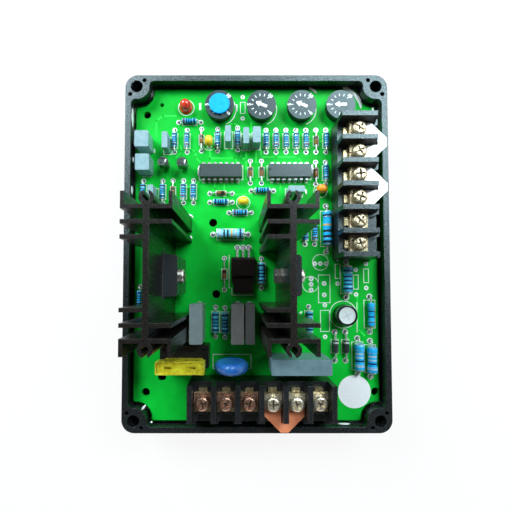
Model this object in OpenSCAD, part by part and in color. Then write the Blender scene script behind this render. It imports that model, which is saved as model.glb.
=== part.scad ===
// Automatic voltage regulator for a generator: an open moulded tray with a populated circuit board,
// two extruded heat sinks with power devices, two barrier terminal blocks and four dial trimmers.
// The origin is the centre of the tray's back. +X is right, +Y is up the board, +Z is out of the tray.

/* [Tray] */
// Outside width of the tray
case_w = 115; // [113:1:140]
// Outside length of the tray
case_l = 155; // [153:1:190]
// Height of the tray from its back to its rim
case_h = 22; // [18:1:40]
// Thickness of the tray's walls
case_wall = 2.5; // [2:0.1:2.8]
// Thickness of the tray's floor
case_floor = 2.5; // [1.5:0.1:5]
// Distance of each mounting hole from the two nearest sides
bolt_inset = 5; // [4.8:0.1:6]
// Diameter of the mounting holes
bolt_hole_d = 5.2; // [4:0.1:5.6]
// Radius of the tray's outer corners
corner_r = 5.5; // [4:0.1:7]
// Radius of the bosses round the mounting holes
boss_r = 5.6; // [5.3:0.1:6.2]
// Radius of the fillets between the bosses and the walls
boss_fillet = 2; // [1.5:0.1:3]
// Diameter of the two cover-screw pilot holes in each boss
pilot_d = 1.8; // [1.2:0.1:2.2]
// Depth of the pilot holes
pilot_depth = 8; // [4:0.5:12]
// Distance of the pilot holes from the mounting hole's centre
pilot_offset = 4.4; // [4.2:0.1:4.6]
// Width of the shelf that carries the board
shelf_w = 1.6; // [1:0.1:3]

/* [Board] */
// Depth of the board's top face below the tray's rim
board_drop = 5; // [3:0.5:7]
// Thickness of the board
board_t = 1.6; // [1:0.1:2.4]
// Gap between the board and the tray
board_gap = 0.4; // [0.2:0.1:0.8]
// Height of the clear resin bead along the board's edge
bead_h = 0.7; // [0.3:0.1:1.5]
// Width of the resin bead
bead_w = 1.1; // [0.8:0.1:1.6]
// Length of the lead ends below the board
lead_stub = 1.5; // [0.5:0.1:3]
// Room between a lead and its hole in the board, on the radius
drill_room = 0.15; // [0.1:0.05:0.3]

/* [Terminal blocks] */
// Distance between neighbouring terminals
term_pitch = 9.5; // [9.2:0.1:10]
// Thickness of the barrier walls
term_wall = 2; // [1.6:0.1:2.2]
// Depth of a block from its back to its open front
term_depth = 16; // [15.5:0.1:16.5]
// Height of a block's base under the contact plates
term_base_h = 9.5; // [8:0.1:10]
// Height of the barrier walls
term_wall_h = 16.8; // [16.4:0.1:20]
// Thickness of the contact plates
contact_t = 1; // [0.6:0.1:1.2]
// Thickness of the clamp plates under the screw heads
clamp_t = 1; // [0.6:0.1:1.2]
// Thickness of the link plates
link_t = 0.8; // [0.5:0.1:1]
// Thread diameter of the terminal screws
term_screw_d = 3.5; // [3:0.1:4]
// Head diameter of the terminal screws
term_head_d = 6; // [5.5:0.1:6.4]
// Head height of the terminal screws
term_head_h = 2.4; // [1.8:0.1:2.6]

/* [Heat sinks] */
// Height of the heat sinks above the board
sink_h = 45; // [38:1:60]
// Width of the profile across its fins
sink_w = 16.5; // [15:0.1:17]
// Length of the profile between the outer faces of its end plates
sink_l = 43.6; // [42:0.1:44.5]
// Length of the prongs beyond the end plates
sink_prong = 4.2; // [3:0.1:4.5]
// Thickness of the spine
sink_spine = 2; // [1.6:0.1:2.6]
// Thickness of the fins and end plates
sink_fin = 1.4; // [1:0.1:1.8]
// Bore of the round channels that take the board pins
sink_channel_d = 2.5; // [2.2:0.1:2.8]
// Distance between neighbouring fins
sink_fin_pitch = 4.8; // [4.2:0.1:5.2]

/* [Power devices] */
// Width of a power device
device_w = 15.6; // [14:0.1:16.2]
// Height of a power device's moulding
device_h = 20; // [18:0.5:21]
// Thickness of a power device
device_t = 5; // [4.5:0.1:5.3]
// Height of a power device's moulding above the board
device_lift = 5; // [4:0.5:8]
// Thickness of the insulating pads
pad_t = 0.3; // [0.2:0.05:0.5]
// Diameter of the fixing screws
device_screw_d = 3; // [2.5:0.1:3.2]

/* [Fuse] */
// Length of the fuse's moulding
fuse_l = 19.1; // [18.5:0.1:19.5]
// Thickness of the fuse's moulding
fuse_t = 5.2; // [4.8:0.1:5.6]
// Height of the fuse's moulding
fuse_body_h = 10.6; // [9:0.1:12]
// Thickness of the fuse's blades
fuse_blade_t = 0.7; // [0.5:0.05:0.8]
// Height of the fuse holder
holder_h = 8; // [7:0.1:9]
// Depth of the fuse holder
holder_d = 9.4; // [8.6:0.1:10]

/* [Dial trimmers] */
// Diameter of the dial faces
dial_d = 12.8; // [11:0.1:13.2]
// Height of the dial faces above the board
dial_h = 4.6; // [4:0.1:6]
// Diameter of the turning rotors
rotor_d = 6; // [5:0.1:6.6]
// Diameter of the rotors' stems
rotor_stem_d = 3; // [2:0.1:3.6]
// Running clearance of the rotors, on the radius
rotor_room = 0.06; // [0.03:0.01:0.1]
// Diameter of the blue adjusting cap
cap_d = 9.1; // [7.5:0.1:9.2]

/* [Wired parts] */
// Lead diameter of small parts
lead_d = 0.6; // [0.5:0.05:0.7]
// Lead diameter of power resistors and rectifiers
heavy_lead_d = 0.8; // [0.7:0.05:0.9]
// Hole spacing of quarter-watt resistors and glass diodes
small_pitch = 10; // [9.8:0.1:10.4]
// Body length of a quarter-watt resistor
small_res_l = 6.3; // [5.5:0.1:6.8]
// Body diameter of a quarter-watt resistor
small_res_d = 2.3; // [1.8:0.1:2.4]
// Hole spacing of power resistors
power_pitch = 15.6; // [15:0.1:15.8]
// Body length of a power resistor
power_res_l = 11.5; // [10:0.1:12]
// Body diameter of a power resistor
power_res_d = 4.2; // [3.4:0.1:4.4]
// Hole spacing of rectifier diodes
rectifier_pitch = 12.5; // [11:0.1:12.7]

/* [Box capacitors] */
// Height of the signal film capacitors
signal_cap_h = 7; // [6:0.5:10]
// Length of the signal film capacitors
signal_cap_l = 7; // [6.4:0.1:7.2]
// Height of the snubber capacitors
snubber_h = 13; // [10:0.5:18]
// Length of the snubber capacitors
snubber_l = 16.4; // [15:0.1:16.6]
// Height of the main film capacitor
main_cap_h = 15; // [12:0.5:20]
// Length of the main film capacitor
main_cap_l = 24.2; // [22:0.1:24.6]
// Thickness of the main film capacitor
main_cap_t = 6.3; // [5:0.1:7]
// Diameter of the varistor disc
varistor_d = 14; // [12:0.1:14.4]
// Thickness of the varistor disc
varistor_t = 4.6; // [3.6:0.1:5]
// Diameter of the electrolytic capacitor
can_d = 9; // [6.3:0.1:9.4]
// Height of the electrolytic capacitor
can_h = 6; // [5:0.5:16]

/* [Hidden] */
$fn = 48;
over = 1;                                  // how far cutters run past the faces that they cut

// Levels of the tray and the board
board_top = case_h - board_drop;
board_bottom = board_top - board_t;
lead_end = -board_t - lead_stub;
inner_w = case_w - 2 * case_wall;
inner_l = case_l - 2 * case_wall;
inner_r = corner_r - case_wall;
wall_to_bolt = bolt_inset - case_wall;
pilot_turns = [-40, 130];                  // either side of the corner's diagonal

// Places on the board run from its centre, or from the edge that a part belongs to
left_edge = -inner_w / 2;
right_edge = inner_w / 2;
top_edge = inner_l / 2;
bottom_edge = -inner_l / 2;
plan_w = 110;                              // board size that the places below are measured on
plan_l = 150;
spread_x = inner_w / plan_w;
spread_y = inner_l / plan_l;
function spread(places) = [for (p = places)
    [for (i = [0 : len(p) - 1]) p[i] * (i == 0 ? spread_x : i == 1 ? spread_y : 1)]];

// Terminal blocks: the row's centre, with the open front toward the nearest wall
side_block_gap = 5;                        // from a block's front to the wall that it faces
side_block_x = right_edge - side_block_gap - term_depth / 2;
side_block_y = 26 * spread_y;
end_block_gap = 4.5;
end_block_x = 1.4 * spread_x;
end_block_y = bottom_edge + end_block_gap + term_depth / 2;
term_count = 6;
term_row_l = term_count * term_pitch + term_wall;
term_room = 0.2;                           // gap round plates and pins inside a block
term_front_bevel = 1.6;                    // slope at the front of the wall tops
term_nose = 1.2;                           // how far the base runs out in front of the walls
term_contact_l = 8;
term_tab_w = 3.4;
term_tab_l = 1.7;
term_pin_t = 0.8;
term_clamp_l = 7.4;
term_guide_l = 2.8;                        // tapered wire guide in front of the contact plate
term_guide_depth = 3;
term_guide_narrow = 4;
term_screw_l = 8;
term_hole_room = 0.3;
contact_z = term_base_h + contact_t;
contact_w = term_pitch - term_wall - 2 * term_room;
term_pin_y = term_contact_l / 2 + term_tab_l - term_pin_t / 2;
end_linked = [3, 4];
side_linked = [2, 3, 4, 5];
link_w = 6.8;                              // width of one prong
link_front_room = 0.5;
link_slot_end = term_depth / 2 + link_front_room; // the slot clears the barrier wall's front
link_web = 3.6;
link_notch_room = 0.3;
link_tail = 0.6;                           // length of the prongs behind the screw
link_tip_extra = 0.2;
slot_w = 0.8;                              // driver slot of the screw heads
slot_depth = 1;
slot_share = 0.64;                         // length of a slot as a share of its head
screw_turn = 20;                           // turn of the first screw's slots, and from one to the next
screw_turn_step = 25;

// Heat sinks: the middle of the profile
sink_y = -11.3 * spread_y;
left_sink_x = -36.8 * spread_x;
right_sink_x = 9.5 * spread_x;
sink_fins_right = [1];                     // fins counted from the end plates inward
sink_fins_left = [1, 2];
sink_channel_wall = 1.2;
sink_channel_set = 0.9;                    // gap between a channel's bore and the end plate
sink_channel_y = sink_l / 2 + sink_channel_d / 2 + sink_channel_set;
sink_channel_mouth = 1.5;
sink_prong_t = 1.2;
sink_pin_room = 0.05;
sink_pin_h = 8;
device_x = sink_spine / 2 + pad_t;         // back of a device, from the spine's middle
device_lead_pitch = 5.45;
device_lead_w = 1.2;
device_lead_t = 0.7;
device_lead_in = 2.4;                      // from a device's back to the middle of its leads
device_lead_x = device_x + device_lead_in;
device_hole_up = 14;                       // from a device's foot to its screw hole
device_screw_z = device_lift + device_hole_up;
device_bevel = 0.9;
device_screw_room = 0.25;
device_head_d = 5.6;
device_head_h = 2;
device_nut_w = 5.5;
device_nut_h = 2.4;
device_nut_room = 0.1;
pad_margin = 1.2;

// Flat transistor
flat_x = -5.8 * spread_x;
flat_y = -10.4 * spread_y;
flat_w = 10.4;
flat_l = 15.6;
flat_t = 4.5;
flat_step_l = 6.4;
flat_step_t = 2.9;
flat_notch_w = 0.9;                        // notches at the tab's lower corners
flat_notch_l = 4.6;
flat_lead_pitch = 2.54;
flat_lead_w = 0.9;
flat_lead_t = 0.5;
flat_lead_z = 2.4;
flat_lead_run = 4.8;
flat_bevel = 1;

// Fuse and its holder
fuse_x = -30.5 * spread_x;
fuse_y = -47 * spread_y;
holder_end = 0.7;                          // how far the holder runs past each end of the fuse
holder_shift = 2.3;                        // the holder's middle lies above the fuse's
holder_l = fuse_l + 2 * holder_end;
holder_y = fuse_y + holder_shift;
holder_hole_d = 1;                         // blind holes in the holder's upper corners
holder_hole_depth = 3;
holder_hole_in = 2;
holder_groove_l = 9.4;                     // shallow groove between the two holes
holder_groove_w = 1.4;
holder_groove_depth = 0.5;
fuse_seat = 0.3;                           // gap between the fuse's moulding and the holder
fuse_z = holder_h + fuse_seat;
fuse_waist_l = 15.8;
fuse_waist_h = 6.6;
fuse_step = 0.7;                           // how far the top bar stands out from the waist
fuse_waist_t = fuse_t - 2 * fuse_step;
fuse_waist_round = 0.4;
fuse_bar_round = 0.6;
fuse_rim = 0.5;                            // rim round the shallow panel in the fuse's top
fuse_panel_depth = 0.4;
element_w = 1;
element_lap = 0.5;
fuse_blade_w = 5.2;
fuse_blade_x = 4.75;
fuse_blade_l = 6.6;                        // blade length below the moulding
fuse_room = 0.15;
fuse_window_w = 2.6;
clip_t = 0.5;
clip_h = 6;
clip_room = 0.05;
clip_w = 4.6;
clip_pin_d = 1.2;
pocket_room = 0.3;
pocket_end = 0.8;
holder_wall = 1;

// Dial trimmers
dial_inset = 10.3;
dial_y = top_edge - dial_inset;
dial_xs = spread_x * [-16.2, 2.3, 20.1, 37.3];
pointer_turns = [180, 158, 158, 180];      // where the arrows point at rest
dial_step = 0.45;                          // how far the face overhangs the foot
dial_foot_d = dial_d - 2 * dial_step;
dial_rim_t = 1.6;
rotor_recess = 1.5;                        // depth of the rotor's seat in the dial
rotor_float = 0.08;                        // gap under the rotor's disc and stem
pointer_depth = 0.6;
pointer_proud = 0.2;
pointer_l = 5.2;
pointer_w = 1.3;
pointer_head_w = 2.8;
pointer_head_l = 2;
pointer_room = 0.05;
cap_h = 0.8;
cap_gap = 0.3;                             // running gap between the cap and the dial face
cap_plug_d = 2;
cap_round = 0.3;
dial_pin_d = 1;
dial_pin_r = 4.6;
dial_pin_angles = [90, 210, 330];

// Small parts
bend_r = 0.9;
small_lift = 0.2;                          // gap between small axial parts and the board
lead_bury = 0.6;                           // how far a straight lead runs into its body
led_x = -31.5 * spread_x;
led_y = top_edge - 9.4;
led_d = 5;
led_h = 5;
led_flange_d = 5.8;
led_flange_h = 1;
led_pitch = 2.54;
chip_xs = spread_x * [-15.7, 14.9];
chip_y = 35.8 * spread_y;
chip_pins = 14;
chip_pitch = 2.54;
chip_row = 7.62;
chip_l = 18.6;
chip_w = 6.3;
chip_t = 3.2;
chip_lift = 0.5;
chip_draft = 0.35;
chip_parting = 1.7;                        // height of the moulding line, where the pins come out
chip_pin_t = 0.26;
chip_pin_w = 1.3;
chip_tip_w = 0.5;
chip_shoulder_z = 0.6;
chip_notch_d = 1.6;
chip_notch_depth = 0.6;
chip_tip_lap = 0.2;
transistor_places = spread([[-40.4, 38.4], [-32.2, 38.2]]);
transistor_d = 4.7;
transistor_h = 4.6;
transistor_lift = 1.8;
transistor_flat = 1.4;
transistor_pitch = 1.4;
transistor_lead_d = 0.45;

// Axial parts: each row is the middle of the part and the turn of its axis
row_x = 4.6;
row_pitch = 4.5;
row_y = 50.3;
row_count = 7;
row_diode = 5;
small_res_places = spread(concat(
    [for (i = [0 : row_count - 1]) if (i != row_diode) [row_x + i * row_pitch, row_y, 90]],
    [[-36.6, row_y, 90], [-31, row_y, 90], [-17.2, row_y + 0.5, 90], [-8.2, row_y + 1, 90]],
    [[-29.9, 58.9, 0], [-15.7, 22.4, 0], [2.9, 27.6, 0], [-7.1, 17.7, 0]],
    [[-50.5, 27, 90], [-41.8, 27, 90], [-32.5, 27.2, 90], [-28, 27.2, 90]],
    [[31.3, 35.6, 90], [26.2, 8.5, 90], [21.9, 8.5, 90], [-51.5, -20.5, 90]]));
glass_diode_places = spread(concat(
    [[row_x + row_diode * row_pitch, row_y, 90], [-24.5, row_y + 0.5, 90]],
    [[-2.5, 36.1, 90], [2.5, 36.1, 90], [26.9, 35.6, 90], [-37.2, 27.2, 90], [-15.7, 26.4, 0]],
    [[-14.1, -9.8, 90]]));
long_diode = 7;                            // the one of the rows above with longer leads
long_diode_extra = 4;
glass_diode_l = 4;
glass_diode_d = 1.7;
glass_diode_round = 0.4;
small_res_form = [0.15, 1.6, 0.5];         // waist depth, cup length and shoulder radius of a body
half_watt_form = [0.2, 2.2, 0.6];
power_res_form = [0.25, 2.8, 0.9];
half_watt_places = spread([[2.4, -9.5, 90], [-18, -31, 90], [-13.8, -31.3, 90], [23.3, -30.8, 90]]);
half_watt_pitch = 13;
half_watt_l = 9;
half_watt_d = 3;
power_res_places = spread([[-11.4, 7.9, 0], [31.3, 10.4, 90], [40.1, -12.4, 90], [50.3, -27.6, 90],
    [44.7, -46, 90], [50.3, -47.2, 90]]);
power_res_lift = 0.4;                      // gap between a power resistor and the board
long_power_res = 1;                        // the one of the rows above with longer leads and body
long_power_extra = 5;
long_body_extra = 3.4;
slim_power_res = 3;                        // the one of the rows above with a slimmer, shorter body
slim_body_less = 1.3;
rectifier_places = spread([[34.7, -41.7, 90], [39.4, -41.7, 90]]);
rectifier_l = 5.2;
rectifier_d = 2.4;
rectifier_round = 0.25;

// Radial parts: middle, turn of the long side, thickness and height
signal_cap_places = spread([
    [-49.4, 48, 90, 6, 8], [-49, 37.9, 90, 6, 8],
    [-39.7, 48, 90, 2.5, signal_cap_h], [-12.3, 50.7, 90, 2.5, signal_cap_h],
    [-4.5, 49.8, 90, 2.5, signal_cap_h], [0.1, 50.2, 90, 3.4, signal_cap_h],
    [17.1, 26.6, 0, 2.6, signal_cap_h], [-45.6, 24.8, 90, 2.4, signal_cap_h]]);
signal_cap_pitch = 5;
bead_cap_places = spread([[-21, 49.1, 90], [-5.7, 22.2, 0], [29, 27.6, 0]]);
bead_cap_d = 4.8;
bead_cap_t = 3.6;
bead_cap_pitch = 2.54;
bead_cap_lift = 0.6;
bead_cap_flat = 0.4;                       // straight part of the bead's edge
pale_snubber_place = [-25.1 * spread_x, -30.7 * spread_y];
pale_snubber_t = 5.4;
dark_snubber_places = spread([[-8.2, -30.7, 5.3], [-3.05, -30.7, 3.8]]);
snubber_pitch = 15;
main_cap_place = [17.4 * spread_x, -47.7 * spread_y];
main_cap_pitch = 20;
varistor_place = [-10.7 * spread_x, -48.4 * spread_y];
varistor_lean = 6;
varistor_pitch = 7.5;
varistor_lift = 2.2;
varistor_flat = 0.6;                       // straight part of the disc's edge
can_place = [38.6 * spread_x, -27.8 * spread_y];
can_pitch = 3.5;
can_crimp = 0.35;
can_top_lip = 0.15;
can_foot_h = 1;
box_round = 0.5;
box_lift = 0.3;

// Bare holes in the board: place and diameter
board_holes = [[left_edge + 5.9, top_edge - 12.7, 3.3], [left_edge + 12.5, top_edge - 8.1, 1.8],
    each spread([[-19.2, 13.2, 3.6], [-17.7, -18.7, 3.6]]),
    [left_edge + 6.4, bottom_edge + 13.2, 3.6], [right_edge - 2.6, bottom_edge + 13.4, 3.6],
    [left_edge + 13.5, bottom_edge + 19.8, 3.6]];
sticker_place = [right_edge - 11.9, bottom_edge + 13.4];
sticker_d = 14.4;
sticker_t = 0.1;

// Holes under a part: its middle, its turn and the offsets of its leads, with the lead diameter
function turned(p, a) = [p[0] * cos(a) - p[1] * sin(a), p[0] * sin(a) + p[1] * cos(a)];
function row_of(count, pitch) = [for (i = [0 : count - 1]) [(i - (count - 1) / 2) * pitch, 0]];
function pads(middle, turn, offsets, d) =
    [for (o = offsets) let (t = turned(o, turn)) [middle[0] + t[0], middle[1] + t[1], d]];
function all_pads(places, offsets, d) = [for (p = places) each pads(p, p[2], offsets, d)];
function power_pitch_of(i) = i == long_power_res ? power_pitch + long_power_extra : power_pitch;
function power_l_of(i) = i == long_power_res ? power_res_l + long_body_extra
    : i == slim_power_res ? power_res_l - slim_body_less : power_res_l;
function power_d_of(i) = i == slim_power_res ? half_watt_d : power_res_d;
function power_form_of(i) = i == slim_power_res ? half_watt_form : power_res_form;
function diode_pitch_of(i) = i == long_diode ? small_pitch + long_diode_extra : small_pitch;
chip_pad_offsets = [for (s = [-1, 1]) each
    [for (p = row_of(chip_pins / 2, chip_pitch)) [p[0], s * chip_row / 2]]];
term_pad_offsets = [for (p = row_of(term_count, term_pitch)) [p[0], term_pin_y]];
dial_pad_offsets = [for (a = dial_pin_angles) turned([dial_pin_r, 0], a)];
clip_pad_offsets = [for (s = [-1, 1]) [s * fuse_blade_x, 0]];
sink_pad_offsets = [for (s = [-1, 1]) [0, s * sink_channel_y]];
device_pad_offsets = [for (p = row_of(3, device_lead_pitch)) [device_lead_x, p[0]]];
flat_lead_y = flat_y + flat_l / 2 + flat_lead_run - flat_lead_t / 2;
lead_holes = concat(
    all_pads(small_res_places, row_of(2, small_pitch), lead_d),
    [for (i = [0 : len(glass_diode_places) - 1])
        each pads(glass_diode_places[i], glass_diode_places[i][2], row_of(2, diode_pitch_of(i)), lead_d)],
    all_pads(half_watt_places, row_of(2, half_watt_pitch), lead_d),
    [for (i = [0 : len(power_res_places) - 1])
        each pads(power_res_places[i], power_res_places[i][2], row_of(2, power_pitch_of(i)), heavy_lead_d)],
    all_pads(rectifier_places, row_of(2, rectifier_pitch), heavy_lead_d),
    all_pads(signal_cap_places, row_of(2, signal_cap_pitch), lead_d),
    all_pads(bead_cap_places, row_of(2, bead_cap_pitch), lead_d),
    pads(pale_snubber_place, 90, row_of(2, snubber_pitch), heavy_lead_d),
    [for (p = dark_snubber_places) each pads(p, 90, row_of(2, snubber_pitch), heavy_lead_d)],
    pads(main_cap_place, 0, row_of(2, main_cap_pitch), heavy_lead_d),
    pads(varistor_place, 0, row_of(2, varistor_pitch), heavy_lead_d),
    pads(can_place, 90, row_of(2, can_pitch), lead_d),
    pads([led_x, led_y], 0, row_of(2, led_pitch), lead_d),
    [for (x = chip_xs) each pads([x, chip_y], 0, chip_pad_offsets, norm([chip_tip_w, chip_pin_t]))],
    [for (p = transistor_places) each pads(p, 0, row_of(3, transistor_pitch), transistor_lead_d)],
    pads([end_block_x, end_block_y], 0, term_pad_offsets, norm([term_tab_w, term_pin_t])),
    pads([side_block_x, side_block_y], 90, term_pad_offsets, norm([term_tab_w, term_pin_t])),
    [for (x = dial_xs) each pads([x, dial_y], 0, dial_pad_offsets, dial_pin_d)],
    pads([fuse_x, fuse_y], 0, clip_pad_offsets, clip_pin_d),
    [for (x = [left_sink_x, right_sink_x])
        each pads([x, sink_y], 0, sink_pad_offsets, sink_channel_d - 2 * sink_pin_room)],
    [for (x = [left_sink_x, right_sink_x])
        each pads([x, sink_y], 0, device_pad_offsets, norm([device_lead_w, device_lead_t]))],
    pads([flat_x, flat_lead_y], 0, row_of(3, flat_lead_pitch), norm([flat_lead_w, flat_lead_t])));

// Shared shapes

module on_board(p = [0, 0], turn = 0) {
    translate([p[0], p[1], board_top])
        rotate([0, 0, turn])
            children();
}

module rounded_rect(w, l, r) {
    square([w - 2 * r, l], center = true);
    square([w, l - 2 * r], center = true);
    for (x = [-1, 1], y = [-1, 1])
        translate([x * (w / 2 - r), y * (l / 2 - r)])
            circle(r);
}

// A box that stands on z = 0 with rounded upright edges
module soft_box(w, l, h, r = box_round) {
    linear_extrude(h)
        rounded_rect(w, l, r);
}

// A straight lead from below the board up to z
module lead(d, z) {
    translate([0, 0, lead_end])
        cylinder(d = d, h = z - lead_end);
}

// Half of a revolved body's outline: a waist between two end cups with rounded shoulders
module axial_outline(l, d, form) {
    waist = form[0];
    cup = form[1];
    r = min(form[2], d / 4);
    translate([0, -l / 2])
        square([d / 2 - waist, l]);
    for (s = [0, 1])
        mirror([0, s])
            translate([0, l / 2 - cup]) {
                square([d / 2 - r, cup]);
                square([d / 2, cup - r]);
                translate([d / 2 - r, cup - r])
                    circle(r);
            }
}

// Half of a plain revolved body's outline with rounded ends
module bead_outline(l, d, round) {
    r = min(round, d / 4);
    translate([0, -l / 2])
        square([d / 2 - r, l]);
    translate([0, r - l / 2])
        square([d / 2, l - 2 * r]);
    for (s = [-1, 1])
        translate([d / 2 - r, s * (l / 2 - r)])
            circle(r);
}

// An axial part along X: the outline of its body, and leads bent down through the board
module axial(pitch, d, wire, lift) {
    z = lift + d / 2;
    translate([0, 0, z])
        rotate([0, 90, 0])
            rotate_extrude() {
                children();
                translate([0, bend_r - pitch / 2])
                    square([wire / 2, pitch - 2 * bend_r]);
            }
    for (s = [-1, 1]) {
        translate([s * (pitch / 2 - bend_r), 0, z - bend_r])
            rotate([90, 0, 0])
                rotate([0, 0, s > 0 ? 0 : 90])
                    rotate_extrude(angle = 90)
                        translate([bend_r, 0])
                            circle(d = wire);
        translate([s * pitch / 2, 0, 0])
            lead(wire, z - bend_r);
    }
}

// A box capacitor along X on two leads
module box_cap(l, t, h, pitch, wire) {
    translate([0, 0, box_lift])
        soft_box(l, t, h - box_lift);
    for (s = [-1, 1])
        translate([s * pitch / 2, 0, 0])
            lead(wire, box_lift + lead_bury);
}

// Tray

// A corner boss with its fillets, seen from its hole, with the walls toward -X and -Y
module boss_outline(grow) {
    r = boss_fillet - grow;
    along = sqrt(pow(boss_r + boss_fillet, 2) - pow(boss_fillet - wall_to_bolt, 2));
    up = boss_fillet - wall_to_bolt;
    circle(boss_r + grow);
    translate([-bolt_inset, -bolt_inset])
        square([bolt_inset, bolt_inset]);
    for (flip = [0, 1])
        mirror([flip, -flip, 0])
            difference() {
                polygon([[0, 0], [-bolt_inset, 0], [-bolt_inset, -bolt_inset],
                    [along, -bolt_inset], [along, up]]);
                if (r > 0)
                    translate([along, up])
                        circle(r);
            }
}

module at_corners() {
    for (x = [0, 1], y = [0, 1])
        mirror([x, 0, 0])
            mirror([0, y, 0])
                translate([bolt_inset - case_w / 2, bolt_inset - case_l / 2, 0])
                    children();
}

// The room inside the tray, drawn in from its walls and bosses
module cavity_outline(grow) {
    difference() {
        rounded_rect(inner_w - 2 * grow, inner_l - 2 * grow, inner_r);
        at_corners()
            boss_outline(grow);
    }
}

module tray() {
    color("#202124")
        difference() {
            linear_extrude(case_h)
                rounded_rect(case_w, case_l, corner_r);
            translate([0, 0, case_floor])
                linear_extrude(case_h)
                    cavity_outline(shelf_w);
            translate([0, 0, board_bottom])
                linear_extrude(case_h)
                    cavity_outline(0);
            at_corners() {
                translate([0, 0, -over])
                    cylinder(d = bolt_hole_d, h = case_h + 2 * over);
                for (a = pilot_turns)
                    rotate([0, 0, a])
                        translate([pilot_offset, 0, case_h - pilot_depth])
                            cylinder(d = pilot_d, h = pilot_depth + over);
            }
        }
}

module resin_bead() {
    color("#D8E4D0", 0.6)
        translate([0, 0, board_top])
            linear_extrude(bead_h)
                difference() {
                    cavity_outline(0);
                    cavity_outline(bead_w);
                }
}

module circuit_board() {
    color("#12A63A")
        translate([0, 0, board_bottom])
            linear_extrude(board_t)
                difference() {
                    cavity_outline(board_gap);
                    for (h = board_holes)
                        translate([h[0], h[1]])
                            circle(d = h[2]);
                    for (h = lead_holes)
                        translate([h[0], h[1]])
                            circle(d = h[2] + 2 * drill_room);
                }
}

// Terminal blocks, along X with their open front toward -Y

module at_terminals() {
    for (p = row_of(term_count, term_pitch))
        translate([p[0], 0, 0])
            children();
}

module terminal_block() {
    half = term_depth / 2;
    front = half + term_nose;
    difference() {
        union() {
            translate([-term_row_l / 2, -front, 0])
                cube([term_row_l, half + front, term_base_h]);
            for (i = [0 : term_count])
                translate([(i - term_count / 2) * term_pitch - term_wall / 2, 0, 0])
                    rotate([90, 0, 90])
                        linear_extrude(term_wall)
                            polygon([[-half, 0], [half, 0], [half, term_wall_h],
                                [term_front_bevel - half, term_wall_h], [-half, term_base_h]]);
        }
        at_terminals() {
            translate([0, 0, term_base_h - term_screw_l])
                cylinder(d = term_screw_d + 2 * term_hole_room, h = term_screw_l + over);
            translate([0, term_pin_y, term_base_h / 2])
                cube([term_tab_w + 2 * term_room, term_pin_t + 2 * term_room, term_base_h + 2 * over],
                    center = true);
            translate([0, 0, term_base_h - term_guide_depth])
                linear_extrude(term_guide_depth + over)
                    polygon([[-term_guide_narrow / 2, term_guide_l - half],
                        [term_guide_narrow / 2, term_guide_l - half],
                        [contact_w / 2, -front - over], [-contact_w / 2, -front - over]]);
        }
    }
}

// A contact: flat plate, narrow tab and a pin that is folded down through the base and the board
module contact_plate() {
    difference() {
        union() {
            translate([-contact_w / 2, -term_contact_l / 2, term_base_h])
                cube([contact_w, term_contact_l, contact_t]);
            translate([-term_tab_w / 2, 0, term_base_h])
                cube([term_tab_w, term_contact_l / 2 + term_tab_l, contact_t]);
            translate([-term_tab_w / 2, term_pin_y - term_pin_t / 2, lead_end])
                cube([term_tab_w, term_pin_t, contact_z - lead_end]);
        }
        translate([0, 0, term_base_h - over])
            cylinder(d = term_screw_d + term_hole_room, h = contact_t + 2 * over);
    }
}

module clamp_plate(lift) {
    translate([0, 0, contact_z + lift])
        difference() {
            linear_extrude(clamp_t) {
                circle(d = contact_w);
                translate([-contact_w / 2, 0])
                    square([contact_w, term_clamp_l / 2]);
            }
            translate([0, 0, -over])
                cylinder(d = term_screw_d + term_hole_room, h = clamp_t + 2 * over);
        }
}

// A domed head with crossed slots on a plain shank, the head standing on z = 0
module domed_screw(shank_d, shank_l, head_d, head_h) {
    edge = head_h / 2;
    difference() {
        union() {
            translate([0, 0, -shank_l])
                cylinder(d = shank_d, h = shank_l + edge);
            rotate_extrude()
                intersection() {
                    square([head_d / 2, head_h]);
                    union() {
                        square([head_d / 2, edge]);
                        square([head_d / 2 - edge, head_h]);
                        translate([head_d / 2 - edge, edge])
                            circle(edge);
                    }
                }
        }
        for (a = [0, 90])
            rotate([0, 0, a])
                translate([-head_d * slot_share / 2, -slot_w / 2, head_h - slot_depth])
                    cube([head_d * slot_share, slot_w, slot_depth + over]);
    }
}

function link_lift(linked, i) = len(search(i, linked)) > 0 ? link_t : 0;

module clamp_row(linked) {
    row = row_of(term_count, term_pitch);
    for (i = [0 : term_count - 1])
        translate([row[i][0], 0, 0])
            clamp_plate(link_lift(linked, i));
}

module screw_row(linked) {
    row = row_of(term_count, term_pitch);
    for (i = [0 : term_count - 1])
        translate([row[i][0], 0, contact_z + clamp_t + link_lift(linked, i)])
            rotate([0, 0, screw_turn + screw_turn_step * i])
                domed_screw(term_screw_d, term_screw_l, term_head_d, term_head_h);
}

// A forked link between two neighbouring terminals, with an arrow-shaped front
module link_plate() {
    half = (term_pitch + link_w) / 2;
    tip = link_slot_end + link_web;
    tip_half = (term_pitch - link_w) / 2 + link_tip_extra;
    notch = term_screw_d + 2 * link_notch_room;
    back = term_screw_d / 2 + link_tail;
    translate([0, 0, contact_z])
        linear_extrude(link_t)
            difference() {
                polygon([[-half, back], [-half, half - tip - tip_half], [-tip_half, -tip],
                    [tip_half, -tip], [half, half - tip - tip_half], [half, back]]);
                translate([link_w / 2 - term_pitch / 2, -link_slot_end])
                    square([term_pitch - link_w, link_slot_end + back + over]);
                for (s = [-1, 1])
                    translate([s * term_pitch / 2, 0]) {
                        circle(d = notch);
                        translate([-notch / 2, 0])
                            square([notch, back + over]);
                    }
            }
}

module on_side_block() {
    on_board([side_block_x, side_block_y], 90)
        children();
}

module on_end_block() {
    on_board([end_block_x, end_block_y])
        children();
}

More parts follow.
